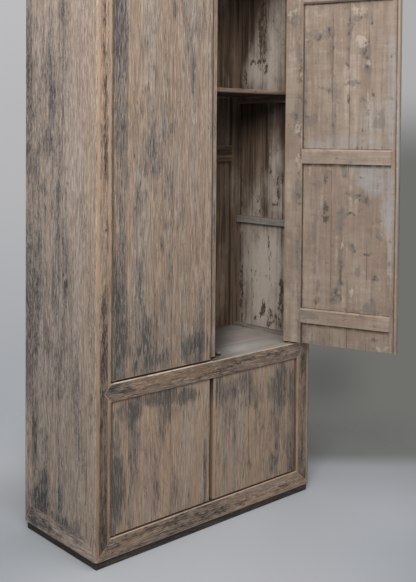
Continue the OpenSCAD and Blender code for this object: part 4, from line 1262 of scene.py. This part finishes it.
def camera_axes():
    ahead = Vector((
        math.sin(LOOK_TURN) * math.cos(LOOK_TILT),
        math.cos(LOOK_TURN) * math.cos(LOOK_TILT),
        math.sin(LOOK_TILT),
    ))
    right = Vector((math.cos(LOOK_TURN), -math.sin(LOOK_TURN), 0))
    up = right.cross(ahead)
    rolled_right = math.cos(LOOK_ROLL) * right + math.sin(LOOK_ROLL) * up
    rolled_up = -math.sin(LOOK_ROLL) * right + math.cos(LOOK_ROLL) * up
    return rolled_right, rolled_up, ahead


def add_camera():
    data = bpy.data.cameras.new("camera")
    data.sensor_fit = "VERTICAL"
    data.sensor_height = SENSOR_HEIGHT
    data.sensor_width = 30.0
    data.lens = FOCUS / PHOTO_HEIGHT * SENSOR_HEIGHT
    data.shift_x = (PHOTO_WIDTH / 2 - MIDDLE[0]) / PHOTO_HEIGHT
    data.shift_y = (MIDDLE[1] - PHOTO_HEIGHT / 2) / PHOTO_HEIGHT
    data.clip_start = 0.05
    data.clip_end = 100
    camera = bpy.data.objects.new("camera", data)
    right, up, ahead = camera_axes()
    turned = Matrix((right, up, -ahead)).transposed().to_4x4()
    camera.matrix_world = Matrix.Translation(CAMERA_PLACE) @ turned
    bpy.context.scene.collection.objects.link(camera)
    bpy.context.scene.camera = camera


# Lamps: name, place, what it is aimed at, size, power and colour
LAMPS = (
    ("window_light", (-2.5, -2.3, 2.9), (0, 0, 1.1), 1.3, 88, (1.0, 0.985, 0.96)),
    ("high_light", (-0.3, -1.5, 3.7), (0, 0, 0.5), 2.4, 50, (0.97, 0.985, 1.0)),
)


def add_lamp(name, place, target, size, power, colour):
    data = bpy.data.lights.new(name, "AREA")
    data.shape = "RECTANGLE"
    data.size = data.size_y = size
    data.energy = power
    data.color = colour
    lamp = bpy.data.objects.new(name, data)
    lamp.location = place
    aimed = Vector(target) - Vector(place)
    lamp.rotation_euler = aimed.to_track_quat("-Z", "Y").to_euler()
    bpy.context.scene.collection.objects.link(lamp)


def mixed(tree, amount, first, second):
    both = put(tree, "ShaderNodeMixShader")
    feed(tree, both.inputs[0], amount)
    tree.links.new(first.outputs[0], both.inputs[1])
    tree.links.new(second.outputs[0], both.inputs[2])
    return both.outputs[0]


# Floor and backdrop. Across and height are slopes as seen from the photograph's standpoint, a fixed
# point, so that they don't slide in other views.
FLOOR_SIZE = 24
WALL_FOOT = tone(163, 166, 170)
WALL = tone(182, 182, 184)
WALL_TOP = tone(188, 188, 190)
WALL_SIDE = tone(164, 164, 164)
WALL_SHADOW = (111, 111, 108)
WALL_DEEP = tone(94, 94, 92)
FLOOR_FAR = tone(184, 187, 192)
FLOOR_NEAR = tone(179, 182, 186)
FLOOR_RIGHT = tone(175, 177, 182)
FLOOR_LEFT_LIGHT = tone(212, 215, 220)
FLOOR_FRONT = tone(167, 171, 176)


def backdrop_colour(tree, sight, lift=0):
    """The pale backdrop and the soft shadow on it, by the direction in which they lie from a fixed point."""
    right, up, ahead = camera_axes()
    depth = most(tree, aim(tree, "DOT_PRODUCT", sight, tuple(ahead)), 0.05)
    across = calc(tree, "DIVIDE", aim(tree, "DOT_PRODUCT", sight, tuple(right)), depth)
    height = calc(tree, "DIVIDE", aim(tree, "DOT_PRODUCT", sight, tuple(up)), depth)
    colour = blend(tree, spread(tree, height, -0.29, 0.03), WALL_FOOT, WALL)
    colour = blend(tree, spread(tree, height, 0.0, 0.2), colour, WALL_TOP)
    side = times(tree, spread(tree, across, -0.05, 0.11), spread(tree, across, 0.42, 0.29))
    colour = blend(tree, times(tree, side, 0.6), colour, WALL_SIDE)
    shade = times(tree, side, spread(tree, height, 0.083, -0.012))
    shade = times(tree, shade, spread(tree, height, -0.60, -0.45))
    deep = times(tree, spread(tree, across, 0.20, 0.13), spread(tree, height, -0.19, -0.24))
    deep = times(tree, deep, spread(tree, height, -0.29, -0.25))
    lifted = tone(*(part + lift for part in WALL_SHADOW))
    return blend(tree, shade, colour, blend(tree, deep, lifted, WALL_DEEP)), across, height


def floor_colour(tree, raw):
    sight = aim(tree, "SUBTRACT", raw, tuple(CAMERA_PLACE))
    behind, across, height = backdrop_colour(tree, sight, 20)
    near = blend(tree, spread(tree, height, -0.39, -0.43), FLOOR_FAR, FLOOR_NEAR)
    near = blend(tree, spread(tree, across, 0.0, 0.12), near, FLOOR_RIGHT)
    # A painted pool of light on the floor to the left of the cabinet
    far_left_light = times(tree, spread(tree, height, -0.385, -0.33), spread(tree, across, -0.1, -0.18))
    near = blend(tree, far_left_light, near, FLOOR_LEFT_LIGHT)
    edge = spread(tree, size_of(tree, across), 0.10, 0.25)
    near = blend(tree, times(tree, edge, spread(tree, height, -0.39, -0.44)), near, FLOOR_FRONT)
    beyond = times(tree, spread(tree, height, -0.345, -0.325), spread(tree, across, -0.1, 0.05))
    return blend(tree, beyond, near, behind)


def add_floor():
    """A pale floor that fades into the backdrop for the camera, away from the cabinet."""
    bpy.ops.object.select_all(action="DESELECT")
    bpy.ops.mesh.primitive_plane_add(size=FLOOR_SIZE, location=(0, 0, 0))
    floor = bpy.context.object
    floor.name = "studio_floor"
    finish = new_finish("pale_floor")
    tree = finish.node_tree
    raw = own_place(tree)
    shader = put(tree, "ShaderNodeBsdfDiffuse")
    feed(tree, shader.inputs["Color"], floor_colour(tree, raw))
    gone = put(tree, "ShaderNodeBsdfTransparent")
    far = spread(tree, aim(tree, "LENGTH", raw), 0.75, 1.7)
    ray = put(tree, "ShaderNodeLightPath")
    faded = mixed(tree, times(tree, far, ray.outputs["Is Camera Ray"]), shader, gone)
    tree.links.new(faded, put(tree, "ShaderNodeOutputMaterial").inputs["Surface"])
    floor.data.materials.append(finish)


def add_world():
    """Soft light from all round, and the backdrop for the camera and in reflections."""
    world = bpy.data.worlds.new("studio_air")
    bpy.context.scene.world = world
    world.use_nodes = True
    tree = world.node_tree
    tree.nodes.clear()
    ray = put(tree, "ShaderNodeLightPath")
    seen = most(tree, ray.outputs["Is Camera Ray"], ray.outputs["Is Glossy Ray"])
    seen = most(tree, seen, ray.outputs["Is Transmission Ray"])
    light = put(tree, "ShaderNodeBackground")
    light.inputs["Color"].default_value = (0.96, 0.98, 1, 1)
    light.inputs["Strength"].default_value = 0.40
    shown = put(tree, "ShaderNodeBackground")
    direction = put(tree, "ShaderNodeTexCoord").outputs["Generated"]
    feed(tree, shown.inputs["Color"], backdrop_colour(tree, direction)[0])
    shown.inputs["Strength"].default_value = 1.0
    air = mixed(tree, seen, light, shown)
    tree.links.new(air, put(tree, "ShaderNodeOutputWorld").inputs["Surface"])


finish_carcass()
finish_inside()
finish_leaves()
add_camera()
for lamp_row in LAMPS:
    add_lamp(*lamp_row)
add_floor()
add_world()
bpy.context.scene.view_settings.view_transform = "Standard"
